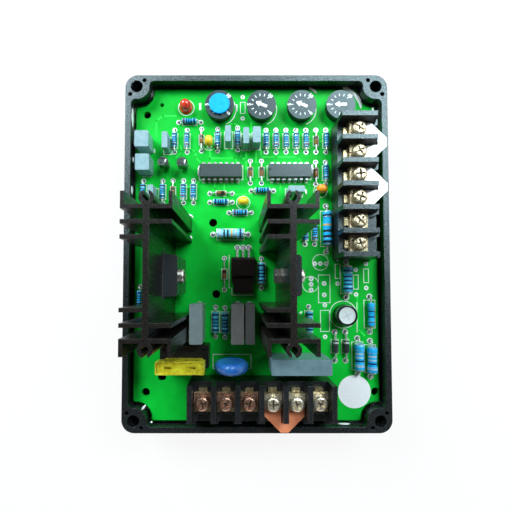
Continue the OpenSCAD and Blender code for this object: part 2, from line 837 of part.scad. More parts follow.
// The link between terminal i and the next one
module link_at(i) {
    translate([row_of(term_count, term_pitch)[i][0] + term_pitch / 2, 0, 0])
        link_plate();
}

module side_terminal_block() { color("#2A2B2E") on_side_block() terminal_block(); }
module end_terminal_block() { color("#2A2B2E") on_end_block() terminal_block(); }
module side_contact_plates() { color("#C9BE8A") on_side_block() at_terminals() contact_plate(); }
module end_contact_plates() { color("#C9BE8A") on_end_block() at_terminals() contact_plate(); }
module side_clamp_plates() { color("#D6D0B4") on_side_block() clamp_row(side_linked); }
module end_clamp_plates() { color("#D6D0B4") on_end_block() clamp_row(end_linked); }
module side_terminal_screws() { color("#E0DAB8") on_side_block() screw_row(side_linked); }
module end_terminal_screws() { color("#E0DAB8") on_end_block() screw_row(end_linked); }
module upper_side_link() { color("#F0F0EC") on_side_block() link_at(side_linked[2]); }
module lower_side_link() { color("#F0F0EC") on_side_block() link_at(side_linked[0]); }
module end_link() { color("#C87848") on_end_block() link_at(end_linked[0]); }

// Heat sinks

// The extruded section: spine, end plates with prongs, fins and two round pin channels
module sink_profile() {
    square([sink_spine, sink_l], center = true);
    for (s = [0, 1])
        mirror([0, s])
            translate([0, sink_l / 2]) {
                translate([-sink_w / 2, -sink_fin])
                    square([sink_w, sink_fin]);
                for (x = [-sink_w / 2, sink_w / 2 - sink_prong_t])
                    translate([x, -sink_fin])
                        square([sink_prong_t, sink_fin + sink_prong]);
                for (i = sink_fins_left)
                    translate([-sink_w / 2, -sink_fin - i * sink_fin_pitch])
                        square([sink_w / 2, sink_fin]);
                for (i = sink_fins_right)
                    translate([0, -sink_fin - i * sink_fin_pitch])
                        square([sink_w / 2, sink_fin]);
                translate([0, sink_channel_y - sink_l / 2])
                    difference() {
                        union() {
                            circle(d = sink_channel_d + 2 * sink_channel_wall);
                            translate([-sink_spine / 2, sink_l / 2 - sink_channel_y])
                                square([sink_spine, sink_channel_y - sink_l / 2]);
                        }
                        circle(d = sink_channel_d);
                        translate([-sink_channel_mouth / 2, 0])
                            square([sink_channel_mouth, sink_channel_d + sink_channel_wall]);
                    }
            }
}

module heat_sink() {
    difference() {
        linear_extrude(sink_h)
            sink_profile();
        translate([-sink_spine, 0, device_screw_z])
            rotate([0, 90, 0])
                cylinder(d = device_screw_d + 2 * device_screw_room, h = 2 * sink_spine);
    }
}

module on_sink(x) {
    on_board([x, sink_y])
        children();
}

module at_sinks() {
    for (x = [left_sink_x, right_sink_x])
        on_sink(x)
            children();
}

module left_heat_sink() { color("#26221F") on_sink(left_sink_x) heat_sink(); }
module right_heat_sink() { color("#26221F") on_sink(right_sink_x) heat_sink(); }

module heat_sink_pins() {
    color("#C8C8C4")
        at_sinks()
            for (o = sink_pad_offsets)
                translate(o)
                    lead(sink_channel_d - 2 * sink_pin_room, sink_pin_h);
}

// A flat-backed moulding with bevelled front edges and a screw hole, its back at x = 0
module power_device() {
    translate([device_x, 0, device_lift])
        difference() {
            linear_extrude(device_h)
                polygon([[0, -device_w / 2], [device_t - device_bevel, -device_w / 2],
                    [device_t, device_bevel - device_w / 2], [device_t, device_w / 2 - device_bevel],
                    [device_t - device_bevel, device_w / 2], [0, device_w / 2]]);
            translate([-over, 0, device_screw_z - device_lift])
                rotate([0, 90, 0])
                    cylinder(d = device_screw_d + 2 * device_screw_room, h = device_t + 2 * over);
            for (s = [-1, 1])
                translate([-over, s * device_w / 2, device_screw_z - device_lift])
                    rotate([0, 90, 0])
                        cylinder(d = device_screw_d, h = device_t + 2 * over);
        }
}

module left_power_device() { color("#1B1C1F") on_sink(left_sink_x) power_device(); }
module right_power_device() { color("#1B1C1F") on_sink(right_sink_x) power_device(); }

module power_device_leads() {
    color("#D0D2D2")
        at_sinks()
            for (o = device_pad_offsets)
                translate([o[0] - device_lead_t / 2, o[1] - device_lead_w / 2, lead_end])
                    cube([device_lead_t, device_lead_w, device_lift - lead_end]);
}

module insulating_pads() {
    color("#8C8F92")
        at_sinks()
            translate([sink_spine / 2, 0, device_lift])
                difference() {
                    translate([0, -device_w / 2 - pad_margin, -pad_margin])
                        cube([pad_t, device_w + 2 * pad_margin, device_h + 2 * pad_margin]);
                    translate([-over, 0, device_screw_z - device_lift])
                        rotate([0, 90, 0])
                            cylinder(d = device_screw_d + 2 * device_screw_room, h = pad_t + 2 * over);
                }
}

module device_screws() {
    color("#D8D8D4")
        at_sinks()
            translate([device_x + device_t, 0, device_screw_z])
                rotate([0, 90, 0])
                    domed_screw(device_screw_d, device_x + device_t + sink_spine / 2 + device_nut_h,
                        device_head_d, device_head_h);
}

module device_nuts() {
    color("#C8C8C4")
        at_sinks()
            translate([-sink_spine / 2 - device_nut_h, 0, device_screw_z])
                rotate([0, 90, 0])
                    difference() {
                        cylinder(d = device_nut_w / cos(30), h = device_nut_h, $fn = 6);
                        translate([0, 0, -over])
                            cylinder(d = device_screw_d + 2 * device_nut_room, h = device_nut_h + 2 * over);
                    }
}

// Flat transistor, its leads toward +Y

module flat_transistor() {
    color("#1C1A19")
        on_board([flat_x, flat_y])
            difference() {
                translate([0, flat_l / 2, 0])
                    rotate([90, 0, -90])
                        translate([0, 0, -flat_w / 2])
                            linear_extrude(flat_w)
                                polygon([[0, 0], [flat_l, 0], [flat_l, flat_step_t],
                                    [flat_l - flat_step_l, flat_step_t],
                                    [flat_l - flat_step_l - flat_bevel, flat_t],
                                    [flat_bevel, flat_t], [0, flat_t - flat_bevel]]);
                for (s = [-1, 1])
                    translate([s * flat_w / 2, -flat_l / 2, 0])
                        cube([2 * flat_notch_w, 2 * flat_notch_l, 2 * flat_t + over], center = true);
            }
}

module flat_transistor_leads() {
    color("#D0D2D2")
        on_board([flat_x, flat_y])
            for (p = row_of(3, flat_lead_pitch))
                translate([p[0] - flat_lead_w / 2, flat_l / 2, 0])
                    rotate([90, 0, 90])
                        linear_extrude(flat_lead_w)
                            polygon([[0, flat_lead_z - flat_lead_t], [flat_lead_run - flat_lead_t,
                                flat_lead_z - flat_lead_t], [flat_lead_run - flat_lead_t, lead_end],
                                [flat_lead_run, lead_end], [flat_lead_run, flat_lead_z], [0, flat_lead_z]]);
}

// Fuse

module at_blades() {
    for (s = [-1, 1])
        translate([s * fuse_blade_x, 0, 0])
            children();
}

module fuse_holder() {
    color("#242427")
        difference() {
            on_board([fuse_x, holder_y])
                soft_box(holder_l, holder_d, holder_h);
            on_board([fuse_x, fuse_y])
                at_blades() {
                    translate([0, 0, holder_h / 2 + holder_wall])
                        cube([clip_w + 2 * pocket_end, 2 * (clip_t + pocket_room + clip_room) + fuse_blade_t,
                            holder_h], center = true);
                    translate([0, 0, -over])
                        cylinder(d = clip_pin_d + 2 * drill_room, h = holder_h);
                }
            on_board([fuse_x, holder_y + holder_d / 2 - holder_hole_in]) {
                for (s = [-1, 1])
                    translate([s * (holder_l / 2 - holder_hole_in), 0, holder_h - holder_hole_depth])
                        cylinder(d = holder_hole_d, h = holder_hole_depth + over);
                translate([0, 0, holder_h - holder_groove_depth])
                    soft_box(holder_groove_l, holder_groove_w, holder_groove_depth + over);
            }
        }
}

// A sprung U of strip round the blade, on a round pin
module fuse_clips() {
    inner = fuse_blade_t + 2 * clip_room;
    color("#C9BE8A")
        on_board([fuse_x, fuse_y])
            at_blades() {
                translate([-clip_w / 2, 0, holder_wall])
                    rotate([90, 0, 90])
                        linear_extrude(clip_w)
                            difference() {
                                translate([-inner / 2 - clip_t, 0])
                                    square([inner + 2 * clip_t, clip_h]);
                                translate([-inner / 2, clip_t])
                                    square([inner, clip_h]);
                            }
                lead(clip_pin_d, holder_wall + clip_t / 2);
            }
}

// The fuse's moulding: a wide top bar over a narrower waist, open round the blades and the window
module fuse_body() {
    bar_h = fuse_body_h - fuse_waist_h;
    color("#E8D820", 0.8)
        on_board([fuse_x, fuse_y])
            translate([0, 0, fuse_z])
                difference() {
                    union() {
                        soft_box(fuse_waist_l, fuse_waist_t, fuse_body_h, fuse_waist_round);
                        translate([0, 0, fuse_waist_h])
                            soft_box(fuse_l, fuse_t, bar_h, fuse_bar_round);
                    }
                    translate([0, 0, -over])
                        linear_extrude(fuse_waist_h + over)
                            square([2 * fuse_blade_x + fuse_blade_w + 2 * fuse_room,
                                fuse_blade_t + 2 * fuse_room], center = true);
                    translate([0, 0, fuse_body_h - fuse_panel_depth])
                        soft_box(fuse_l - 2 * fuse_rim, fuse_t - 2 * fuse_rim, bar_h, fuse_bar_round);
                    for (s = [-1, 1])
                        translate([s * fuse_blade_x, 0, fuse_body_h - bar_h / 2])
                            linear_extrude(bar_h)
                                square([fuse_window_w, fuse_blade_t + 2 * fuse_room], center = true);
                }
}

// Two blades joined by a thin bowed link
module fuse_element() {
    top = fuse_z + fuse_waist_h - fuse_room;
    gap_r = fuse_blade_x - fuse_blade_w / 2;
    color("#D6D4CC")
        on_board([fuse_x, fuse_y])
            rotate([90, 0, 0])
                translate([0, 0, -fuse_blade_t / 2])
                    linear_extrude(fuse_blade_t) {
                        for (s = [-1, 1])
                            translate([s * fuse_blade_x - fuse_blade_w / 2, fuse_z - fuse_blade_l])
                                square([fuse_blade_w, top - fuse_z + fuse_blade_l]);
                        translate([0, top - gap_r - element_w])
                            difference() {
                                translate([-gap_r - element_lap, 0])
                                    square([2 * (gap_r + element_lap), gap_r + element_w]);
                                circle(gap_r);
                            }
                    }
}

// Disc and can

module varistor() {
    rim = (varistor_t - varistor_flat) / 2;
    z = varistor_lift + varistor_d / 2;
    color("#2F80F0")
        on_board(varistor_place) {
            translate([0, 0, z])
                rotate([90 + varistor_lean, 0, 0])
                    rotate_extrude() {
                        intersection() {
                            rounded_rect(varistor_d, varistor_t, rim);
                            translate([0, -varistor_t])
                                square(2 * varistor_d);
                        }
                    }
            for (s = [-1, 1])
                translate([s * varistor_pitch / 2, 0, 0])
                    lead(heavy_lead_d, z - varistor_d / 4);
        }
}

module electrolytic_capacitor() {
    r = can_d / 2;
    color("#3A4048")
        on_board(can_place) {
            rotate_extrude()
                difference() {
                    union() {
                        square([r - can_crimp, can_h]);
                        square([r, can_foot_h]);
                        translate([0, can_foot_h + 2 * can_crimp])
                            square([r, can_h - can_foot_h - 3 * can_crimp]);
                        translate([0, can_h - 2 * can_crimp])
                            square([r - can_crimp, 2 * can_crimp]);
                        translate([r - can_crimp, can_h - can_crimp])
                            circle(can_crimp);
                    }
                    translate([0, can_h - can_crimp])
                        square([r - 2 * can_crimp - can_top_lip, can_h]);
                }
            rotate([0, 0, 90])
                for (s = [-1, 1])
                    translate([s * can_pitch / 2, 0, 0])
                        lead(lead_d, lead_bury);
        }
}

// Box and bead capacitors

module main_film_capacitor() {
    color("#A9BCC4")
        on_board(main_cap_place)
            box_cap(main_cap_l, main_cap_t, main_cap_h, main_cap_pitch, heavy_lead_d);
}

module pale_snubber_capacitor() {
    color("#B5C8D0")
        on_board(pale_snubber_place, 90)
            box_cap(snubber_l, pale_snubber_t, snubber_h, snubber_pitch, heavy_lead_d);
}

module dark_snubber_capacitors() {
    color("#6E7274")
        for (p = dark_snubber_places)
            on_board(p, 90)
                box_cap(snubber_l, p[2], snubber_h, snubber_pitch, heavy_lead_d);
}

module signal_film_capacitors() {
    color("#8FA6AE")
        for (p = signal_cap_places)
            on_board(p, p[2])
                box_cap(signal_cap_l, p[3], p[4], signal_cap_pitch, lead_d);
}

module bead_capacitors() {
    z = bead_cap_lift + bead_cap_d / 2;
    color("#E0A820")
        for (p = bead_cap_places)
            on_board(p, p[2]) {
                translate([0, 0, z])
                    rotate([90, 0, 0])
                        rotate_extrude()
                            intersection() {
                                rounded_rect(bead_cap_d, bead_cap_t, (bead_cap_t - bead_cap_flat) / 2);
                                translate([0, -bead_cap_t])
                                    square(2 * bead_cap_d);
                            }
                for (q = row_of(2, bead_cap_pitch))
                    translate(q)
                        lead(lead_d, z);
            }
}

// Lamp, chips and small transistors

module indicator_led() {
    color("#F03018", 0.85)
        on_board([led_x, led_y]) {
            rotate_extrude()
                intersection() {
                    square([led_flange_d, led_h]);
                    union() {
                        square([led_flange_d / 2, led_flange_h]);
                        square([led_d / 2, led_h - led_d / 2]);
                        translate([0, led_h - led_d / 2])
                            circle(d = led_d);
                    }
                }
            for (p = row_of(2, led_pitch))
                translate(p)
                    lead(lead_d, led_flange_h);
        }
}

module logic_chips() {
    half = chip_w / 2;
    line = chip_lift + chip_parting;
    color("#1D1E20")
        for (x = chip_xs)
            on_board([x, chip_y])
                difference() {
                    rotate([90, 0, 90])
                        translate([0, 0, -chip_l / 2])
                            linear_extrude(chip_l)
                                polygon([[chip_draft - half, chip_lift], [half - chip_draft, chip_lift],
                                    [half, line], [half - chip_draft, chip_lift + chip_t],
                                    [chip_draft - half, chip_lift + chip_t], [-half, line]]);
                    translate([-chip_l / 2, 0, chip_lift + chip_t - chip_notch_depth])
                        cylinder(d = chip_notch_d, h = chip_notch_depth + over);
                }
}

// Each pin leaves the moulding line, turns down with a wide shoulder and ends in a narrow tip
module chip_pins() {
    line = chip_lift + chip_parting;
    out = chip_row / 2 + chip_pin_t / 2;
    color("#D0D2D2")
        for (x = chip_xs)
            on_board([x, chip_y])
                for (p = row_of(chip_pins / 2, chip_pitch), turn = [0, 180])
                    rotate([0, 0, turn])
                        translate([p[0], 0, 0]) {
                            translate([-chip_pin_w / 2, 0, 0])
                                rotate([90, 0, 90])
                                    linear_extrude(chip_pin_w)
                                        polygon([[chip_w / 2, line], [out - chip_pin_t, line],
                                            [out - chip_pin_t, chip_shoulder_z], [out, chip_shoulder_z],
                                            [out, line + chip_pin_t], [chip_w / 2, line + chip_pin_t]]);
                            translate([-chip_tip_w / 2, out - chip_pin_t, lead_end])
                                cube([chip_tip_w, chip_pin_t, chip_shoulder_z - lead_end + chip_tip_lap]);
                        }
}

module small_transistors() {
    color("#1B1B1D")
        for (p = transistor_places)
            on_board(p) {
                translate([0, 0, transistor_lift])
                    linear_extrude(transistor_h)
                        intersection() {
                            circle(d = transistor_d);
                            translate([-transistor_d, -transistor_flat])
                                square(2 * transistor_d);
                        }
                for (q = row_of(3, transistor_pitch))
                    translate(q)
                        lead(transistor_lead_d, transistor_lift + lead_bury);
            }
}

// Axial parts

module small_resistors() {
    color("#1E90E0")
        for (p = small_res_places)
            on_board(p, p[2])
                axial(small_pitch, small_res_d, lead_d, small_lift)
                    axial_outline(small_res_l, small_res_d, small_res_form);
}

module half_watt_resistors() {
    color("#3C8AC8")
        for (p = half_watt_places)
            on_board(p, p[2])
                axial(half_watt_pitch, half_watt_d, lead_d, small_lift)
                    axial_outline(half_watt_l, half_watt_d, half_watt_form);
}

module power_resistors() {
    color("#1E90E0")
        for (i = [0 : len(power_res_places) - 1])
            on_board(power_res_places[i], power_res_places[i][2])
                axial(power_pitch_of(i), power_d_of(i), heavy_lead_d, power_res_lift)
                    axial_outline(power_l_of(i), power_d_of(i), power_form_of(i));
}

module glass_diodes() {
    color("#B04A28")
        for (i = [0 : len(glass_diode_places) - 1])
            on_board(glass_diode_places[i], glass_diode_places[i][2])
                axial(diode_pitch_of(i), glass_diode_d, lead_d, small_lift)
                    bead_outline(glass_diode_l, glass_diode_d, glass_diode_round);
}

module rectifier_diodes() {
    color("#202022")
        for (p = rectifier_places)
            on_board(p, p[2])
                axial(rectifier_pitch, rectifier_d, heavy_lead_d, small_lift)
                    bead_outline(rectifier_l, rectifier_d, rectifier_round);
}

// Dial trimmers

module dial_housings() {
    seat = dial_h - rotor_recess;
    color("#77777A")
        for (x = dial_xs)
            on_board([x, dial_y])
                rotate_extrude()
                    difference() {
                        union() {
                            square([dial_foot_d / 2, dial_h]);
                            translate([0, dial_h - dial_rim_t])
                                square([dial_d / 2, dial_rim_t]);
                        }
                        translate([0, seat])
                            square([rotor_d / 2 + rotor_room, dial_h]);
                        translate([0, -over])
                            square([rotor_stem_d / 2 + rotor_room, dial_h]);
                    }
}

module dial_pins() {
    color("#D0D2D2")
        for (x = dial_xs)
            on_board([x, dial_y])
                for (o = dial_pad_offsets)
                    translate([o[0], o[1], lead_end])
                        cylinder(d = dial_pin_d, h = -lead_end);
}

// An arrow along +X, widened by grow
module pointer_outline(grow) {
    half = pointer_l / 2 + grow;
    w = pointer_w / 2 + grow;
    head = pointer_head_w / 2 + grow;
    neck = half - pointer_head_l - grow;
    polygon([[-half, -w], [neck, -w], [neck, -head], [half, -w / 2], [half, w / 2], [neck, head],
        [neck, w], [-half, w]]);
}

module on_dial(i) {
    on_board([dial_xs[i], dial_y], pointer_turns[i])
        children();
}

// A disc on a stem, with a pocket for the pointer or a round one for the cap's plug
module rotor(capped) {
    color("#6A6A6D")
        difference() {
            union() {
                translate([0, 0, dial_h - rotor_recess + rotor_float])
                    cylinder(d = rotor_d, h = rotor_recess - rotor_float);
                translate([0, 0, rotor_float])
                    cylinder(d = rotor_stem_d, h = dial_h - rotor_recess / 2);
            }
            translate([0, 0, dial_h - pointer_depth])
                linear_extrude(pointer_depth + over)
                    if (capped)
                        circle(d = cap_plug_d + 2 * pointer_room);
                    else
                        pointer_outline(pointer_room);
        }
}

module pointer() {
    color("#F2F2F0")
        translate([0, 0, dial_h - pointer_depth])
            linear_extrude(pointer_depth + pointer_proud)
                pointer_outline(0);
}

module rotor_1() { on_dial(0) rotor(true); }
module rotor_2() { on_dial(1) rotor(false); }
module rotor_3() { on_dial(2) rotor(false); }
module rotor_4() { on_dial(3) rotor(false); }
module pointer_2() { on_dial(1) pointer(); }
module pointer_3() { on_dial(2) pointer(); }
module pointer_4() { on_dial(3) pointer(); }

// A round-edged cap over the first rotor, with a plug in its pocket
module blue_cap() {
    color("#28C8FF")
        on_dial(0) {
            translate([0, 0, dial_h - pointer_depth])
                cylinder(d = cap_plug_d, h = pointer_depth + cap_gap + cap_h / 4);
            translate([0, 0, dial_h + cap_gap])
                rotate_extrude() {
                    square([cap_d / 2, cap_h - cap_round]);
                    square([cap_d / 2 - cap_round, cap_h]);
                    translate([cap_d / 2 - cap_round, cap_h - cap_round])
                        circle(cap_round);
                }
        }
}

module inspection_sticker() {
    color("#F4F4F2")
        on_board(sticker_place)
            cylinder(d = sticker_d, h = sticker_t);
}

tray();
resin_bead();
circuit_board();
side_terminal_block();
end_terminal_block();
side_contact_plates();
end_contact_plates();
side_clamp_plates();
end_clamp_plates();
side_terminal_screws();
end_terminal_screws();
upper_side_link();
lower_side_link();
end_link();
left_heat_sink();
right_heat_sink();
heat_sink_pins();
left_power_device();
right_power_device();
power_device_leads();
insulating_pads();
device_screws();
device_nuts();
flat_transistor();
flat_transistor_leads();
fuse_holder();
fuse_clips();
fuse_body();
fuse_element();
varistor();
electrolytic_capacitor();
main_film_capacitor();
pale_snubber_capacitor();
dark_snubber_capacitors();
signal_film_capacitors();
bead_capacitors();
indicator_led();
logic_chips();
chip_pins();
small_transistors();
small_resistors();
half_watt_resistors();
power_resistors();
glass_diodes();
rectifier_diodes();
dial_housings();
dial_pins();
rotor_1();
rotor_2();
rotor_3();
rotor_4();
blue_cap();
pointer_2();
pointer_3();
pointer_4();
inspection_sticker();
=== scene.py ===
import math

import bpy
from mathutils import Matrix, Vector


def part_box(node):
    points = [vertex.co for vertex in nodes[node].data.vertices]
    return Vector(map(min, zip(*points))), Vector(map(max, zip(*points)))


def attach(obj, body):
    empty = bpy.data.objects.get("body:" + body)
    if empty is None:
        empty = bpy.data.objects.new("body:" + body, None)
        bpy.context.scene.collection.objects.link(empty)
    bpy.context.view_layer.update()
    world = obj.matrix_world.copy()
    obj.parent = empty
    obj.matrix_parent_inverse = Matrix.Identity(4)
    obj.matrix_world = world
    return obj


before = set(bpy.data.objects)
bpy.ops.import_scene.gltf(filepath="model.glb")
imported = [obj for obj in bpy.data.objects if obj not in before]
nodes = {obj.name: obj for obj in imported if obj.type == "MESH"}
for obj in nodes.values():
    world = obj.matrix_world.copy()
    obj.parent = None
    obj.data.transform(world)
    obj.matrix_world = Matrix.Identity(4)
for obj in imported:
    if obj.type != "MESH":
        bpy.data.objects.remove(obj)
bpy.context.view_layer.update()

MM = 0.001
BODY = "regulator"
board_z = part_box("circuit_board")[1].z
dial_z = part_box("dial_housings")[1].z

# Places on the board in millimetres: middle of the part and the turn of its axis.
QUARTER_WATT = [(4.6 + 4.5 * i, 50.3, 90) for i in (0, 1, 2, 3, 4, 6)] + [
    (-36.6, 50.3, 90), (-31, 50.3, 90), (-17.2, 50.8, 90), (-8.2, 51.3, 90),
    (-29.9, 58.9, 0), (-15.7, 22.4, 0), (2.9, 27.6, 0), (-7.1, 17.7, 0),
    (-50.5, 27, 90), (-41.8, 27, 90), (-32.5, 27.2, 90), (-28, 27.2, 90),
    (31.3, 35.6, 90), (26.2, 8.5, 90), (21.9, 8.5, 90), (-51.5, -20.5, 90)]
HALF_WATT = [(2.4, -9.5, 90), (-18, -31, 90), (-13.8, -31.3, 90), (23.3, -30.8, 90)]
ONE_WATT = [(-11.4, 7.9, 0), (40.1, -12.4, 90), (44.7, -46, 90), (50.3, -47.2, 90)]
SLIM = [(50.3, -27.6, 90)]
TWO_WATT = [(31.3, 10.4, 90)]
GLASS = [(27.1, 50.3, 90), (-24.5, 50.8, 90), (-2.5, 36.1, 90), (2.5, 36.1, 90), (26.9, 35.6, 90),
         (-37.2, 27.2, 90), (-15.7, 26.4, 0)]
LONG_DIODE = [(-14.1, -9.8, 90)]
RECTIFIER = [(34.7, -41.7, 90), (39.4, -41.7, 90)]
BOX_CAPS = [(-49.4, 48, 90), (-49, 37.9, 90), (-39.7, 48, 90), (-12.3, 50.7, 90), (-4.5, 49.8, 90),
            (0.1, 50.2, 90), (17.1, 26.6, 0), (-45.6, 24.8, 90)]
BEADS = [(-21, 49.1, 90), (-5.7, 22.2, 0), (29, 27.6, 0)]
CHIPS = [(-15.7, 35.8, 0), (14.9, 35.8, 0)]
DIALS = [(-16.2, 64.7), (2.3, 64.7), (20.1, 64.7), (37.3, 64.7)]
LAMP = (-31.5, 65.6, 0)
CAN = (38.6, -27.8, 90)
SMALL_TRANSISTORS = [(-40.4, 38.4, 0), (-32.2, 38.2, 0)]
SNUBBERS = [(-25.1, -30.7, 90), (-8.2, -30.7, 90), (-3.05, -30.7, 90)]
MAIN_CAP = (17.4, -47.7, 0)
VARISTOR = (-10.7, -48.4, 0)
FLAT_DEVICE_LEADS = (-5.8, 2.0, 0)
POWER_DEVICE_LEADS = [(-33.1, -11.3, 90), (13.2, -11.3, 90)]
# Terminal screws stand at one pitch round the middle of each block.
TERMINALS = 6
TERMINAL_PITCH = 9.5
SIDE_BLOCK = (42, 26)
END_BLOCK = (1.4, -62.5)
# Terminals that a link joins, counted from the lower and the left end.
SIDE_LINKED = (2, 3, 4, 5)
END_LINKED = (3, 4)


# Materials

def linear(code):
    """Linear colour of an sRGB hex value."""
    parts = [int(code[i:i + 2], 16) / 255 for i in (0, 2, 4)]
    return (*[c / 12.92 if c <= 0.04045 else ((c + 0.055) / 1.055) ** 2.4 for c in parts], 1.0)


def node(mat, kind, sockets=None, **settings):
    """Adds a shader node with its settings, and with values or links on its sockets."""
    made = mat.node_tree.nodes.new("ShaderNode" + kind)
    for name, value in settings.items():
        setattr(made, name, value)
    for name, value in (sockets or {}).items():
        if isinstance(value, bpy.types.NodeSocket):
            mat.node_tree.links.new(value, made.inputs[name])
        else:
            made.inputs[name].default_value = value
    return made


def finish(name, dark, light, grain_mm, rough, bump=0.0, stretch=(1, 1, 1), edge=0.0, **sockets):
    """A surface whose colour and roughness drift between two ends with a grain of the given size.
    Rough is a pair, bump the grain's depth as a share, stretch the grain's length along each axis,
    and edge how far sharp edges look rounded, in millimetres."""
    mat = bpy.data.materials.new(name)
    mat.use_nodes = True
    shader = mat.node_tree.nodes["Principled BSDF"]
    place = node(mat, "TexCoord").outputs["Object"]
    spread = node(mat, "Mapping", {"Vector": place, "Scale": [1 / (grain_mm * MM * s) for s in stretch]})
    grain = node(mat, "TexNoise", {"Vector": spread.outputs[0], "Scale": 1.0, "Detail": 4.0,
                                   "Roughness": 0.6})
    tone = node(mat, "MapRange", {"Value": grain.outputs["Fac"], "From Min": 0.3, "From Max": 0.7})
    mixed = node(mat, "Mix", {0: tone.outputs[0], 6: linear(dark), 7: linear(light)}, data_type="RGBA")
    gloss = node(mat, "MapRange", {"Value": grain.outputs["Fac"], "From Min": 0.3, "From Max": 0.7,
                                   "To Min": rough[0], "To Max": rough[1]})
    link = mat.node_tree.links.new
    link(mixed.outputs[2], shader.inputs["Base Color"])
    link(gloss.outputs[0], shader.inputs["Roughness"])
    if bump or edge:
        relief = {"Height": grain.outputs["Fac"], "Strength": bump, "Distance": grain_mm * MM}
        if edge:
            relief["Normal"] = node(mat, "Bevel", {"Radius": edge * MM}, samples=4).outputs[0]
        link(node(mat, "Bump", relief).outputs[0], shader.inputs["Normal"])
    for socket, value in sockets.items():
        shader.inputs[socket.replace("_", " ")].default_value = value
    return mat


def colour_part(mat, axis, level, code, rough=None, share=1.0):
    """Past a level along an axis, in metres, the surface takes a share of another colour and finish."""
    tree = mat.node_tree
    shader = tree.nodes["Principled BSDF"]
    place = node(mat, "SeparateXYZ", {0: node(mat, "TexCoord").outputs["Object"]}).outputs[axis]
    past = node(mat, "Math", {0: place, 1: level}, operation="GREATER_THAN").outputs[0]
    past = node(mat, "Math", {0: past, 1: share}, operation="MULTIPLY").outputs[0]
    for socket, value in (("Base Color", code), ("Roughness", rough)):
        if value is None:
            continue
        data = "RGBA" if socket == "Base Color" else "FLOAT"
        a, b, out = (6, 7, 2) if data == "RGBA" else (2, 3, 0)
        before = shader.inputs[socket].links[0].from_socket
        end = linear(value) if data == "RGBA" else value
        mixed = node(mat, "Mix", {0: past, a: before, b: end}, data_type=data)
        tree.links.new(mixed.outputs[out], shader.inputs[socket])


# Thin lacquer films on the dark mouldings reflect a little cooler than they are lit.
COOL = (0.78, 0.98, 1.0, 1.0)

# Grain sizes are in millimetres. Spark grain, satin and die lines are finer than a pixel in life,
# so they are drawn 0.25 to 0.5 mm wide to show.

# ABS moulded in a spark-eroded tool: black with a fine pale grain on the faces that catch the light.
tray_abs = finish("spark_grained_abs", "0A0A0C", "202224", 0.5, (0.16, 0.38), 0.35, edge=0.25,
                  Specular_IOR_Level=0.9, Specular_Tint=COOL)
# Acrylic lacquer, brushed on: clear and wet.
lacquer = finish("clear_acrylic_lacquer", "E6F2E4", "F6FCF4", 3, (0.03, 0.08),
                 Transmission_Weight=1.0, IOR=1.45)
# The same lacquer where it has pooled thick: painted milky white, a painted highlight for the glints on the
# wet pools.
lacquer_painted_glint = finish("pooled_lacquer_painted_glint", "DCE8E4", "FFFFFF", 1.5, (0.05, 0.14),
                       Coat_Weight=1.0, Coat_Roughness=0.03)
# Epoxy glass laminate under a green solder mask: a soft sheen and a slow mottle where it lies thicker.
mask_green = finish("green_solder_mask", "05AE2B", "0BCE3E", 18, (0.4, 0.52), 0.01, Specular_IOR_Level=0.12)
# The same mask over copper: lighter and yellower.
trace_green = finish("mask_over_copper", "1CDC40", "3CF45A", 4, (0.4, 0.5), Specular_IOR_Level=0.12)
# Epoxy marking ink, screen printed: flat white with thin places.
ink_white = finish("white_marking_ink", "DCEEE0", "FFFFFF", 0.8, (0.5, 0.65))
# Hot-air levelled tin: bright and slightly wavy.
solder_tin = finish("levelled_tin", "D2DAD8", "FFFFFF", 0.5, (0.3, 0.48), 0.15, Metallic=0.55)
# Solder drawn up round a lead: metal that mostly mirrors dark parts, painted dark grey as painted shade
# round the lead.
solder_painted_shade = finish("drawn_solder_painted_shade", "6E7874", "8E9894", 0.4, (0.16, 0.3), 0.1, Metallic=0.9)
# Glass-filled polyester of the terminal blocks: charcoal with a soft sheen.
block_pbt = finish("glass_filled_polyester", "121213", "262628", 0.5, (0.2, 0.38), 0.25, edge=0.2,
                   Specular_IOR_Level=0.9, Specular_Tint=COOL)
# Zinc plate with a yellow chromate: metal with straw and olive patches.
yellow_zinc = finish("yellow_chromate_zinc", "98805A", "E4DABC", 0.9, (0.2, 0.36), 0.25, Metallic=0.75)
# The same plate on the end block: its first three screws have turned rosy; the other three are painted a
# bright straw as painted reflection.
rose_zinc_and_painted_glare = finish("rose_chromate_and_painted_glare_zinc", "8E5C46", "F0C4AA", 0.9, (0.2, 0.36), 0.25, Metallic=0.75)
# Painted shade in the screws' slots: a dull dark brown film.
slot_painted_shade = finish("slot_painted_shade", "2A2218", "54483A", 0.5, (0.5, 0.7))
# Brass strip, flashed with nickel: pale gold.
contact_brass = finish("flashed_brass", "B4A272", "E8DCB0", 1.0, (0.2, 0.36), 0.1, Metallic=0.8)
# Electro-tinned copper of the side links: almost white.
tinned = finish("tinned_copper", "E9E8E2", "FFFFFC", 2.5, (0.3, 0.46), 0.05, Metallic=0.8)
# Bare copper strip, handled and tarnished to a dull salmon that mirrors little.
copper = finish("bare_copper", "EA865C", "FCA074", 3.0, (0.34, 0.48), 0.03, edge=0.15, Metallic=0.1)
# Extruded aluminium, anodised black: die lines run up the section and the black has a brown cast.
anodised = finish("black_anodised_extrusion", "0B0908", "1E1916", 0.35, (0.22, 0.38), 0.12,
                  stretch=(1, 1, 40), edge=0.2, Specular_IOR_Level=0.7)
# Tinned copper wire and pins: drawn bright, with dull places.
tinned_wire = finish("tinned_wire", "C4CACA", "FFFFFF", 0.7, (0.22, 0.4), 0.05, Metallic=0.8)
# Moulded epoxy of the devices: black, faintly sandy.
epoxy = finish("moulded_epoxy", "1E2224", "3A4042", 0.25, (0.16, 0.3), 0.12, edge=0.12,
               Specular_IOR_Level=0.8)
# The flat device's epoxy is browner and smooth.
epoxy_brown = finish("brown_black_epoxy", "080504", "16100C", 0.6, (0.2, 0.32), 0.05, edge=0.15)
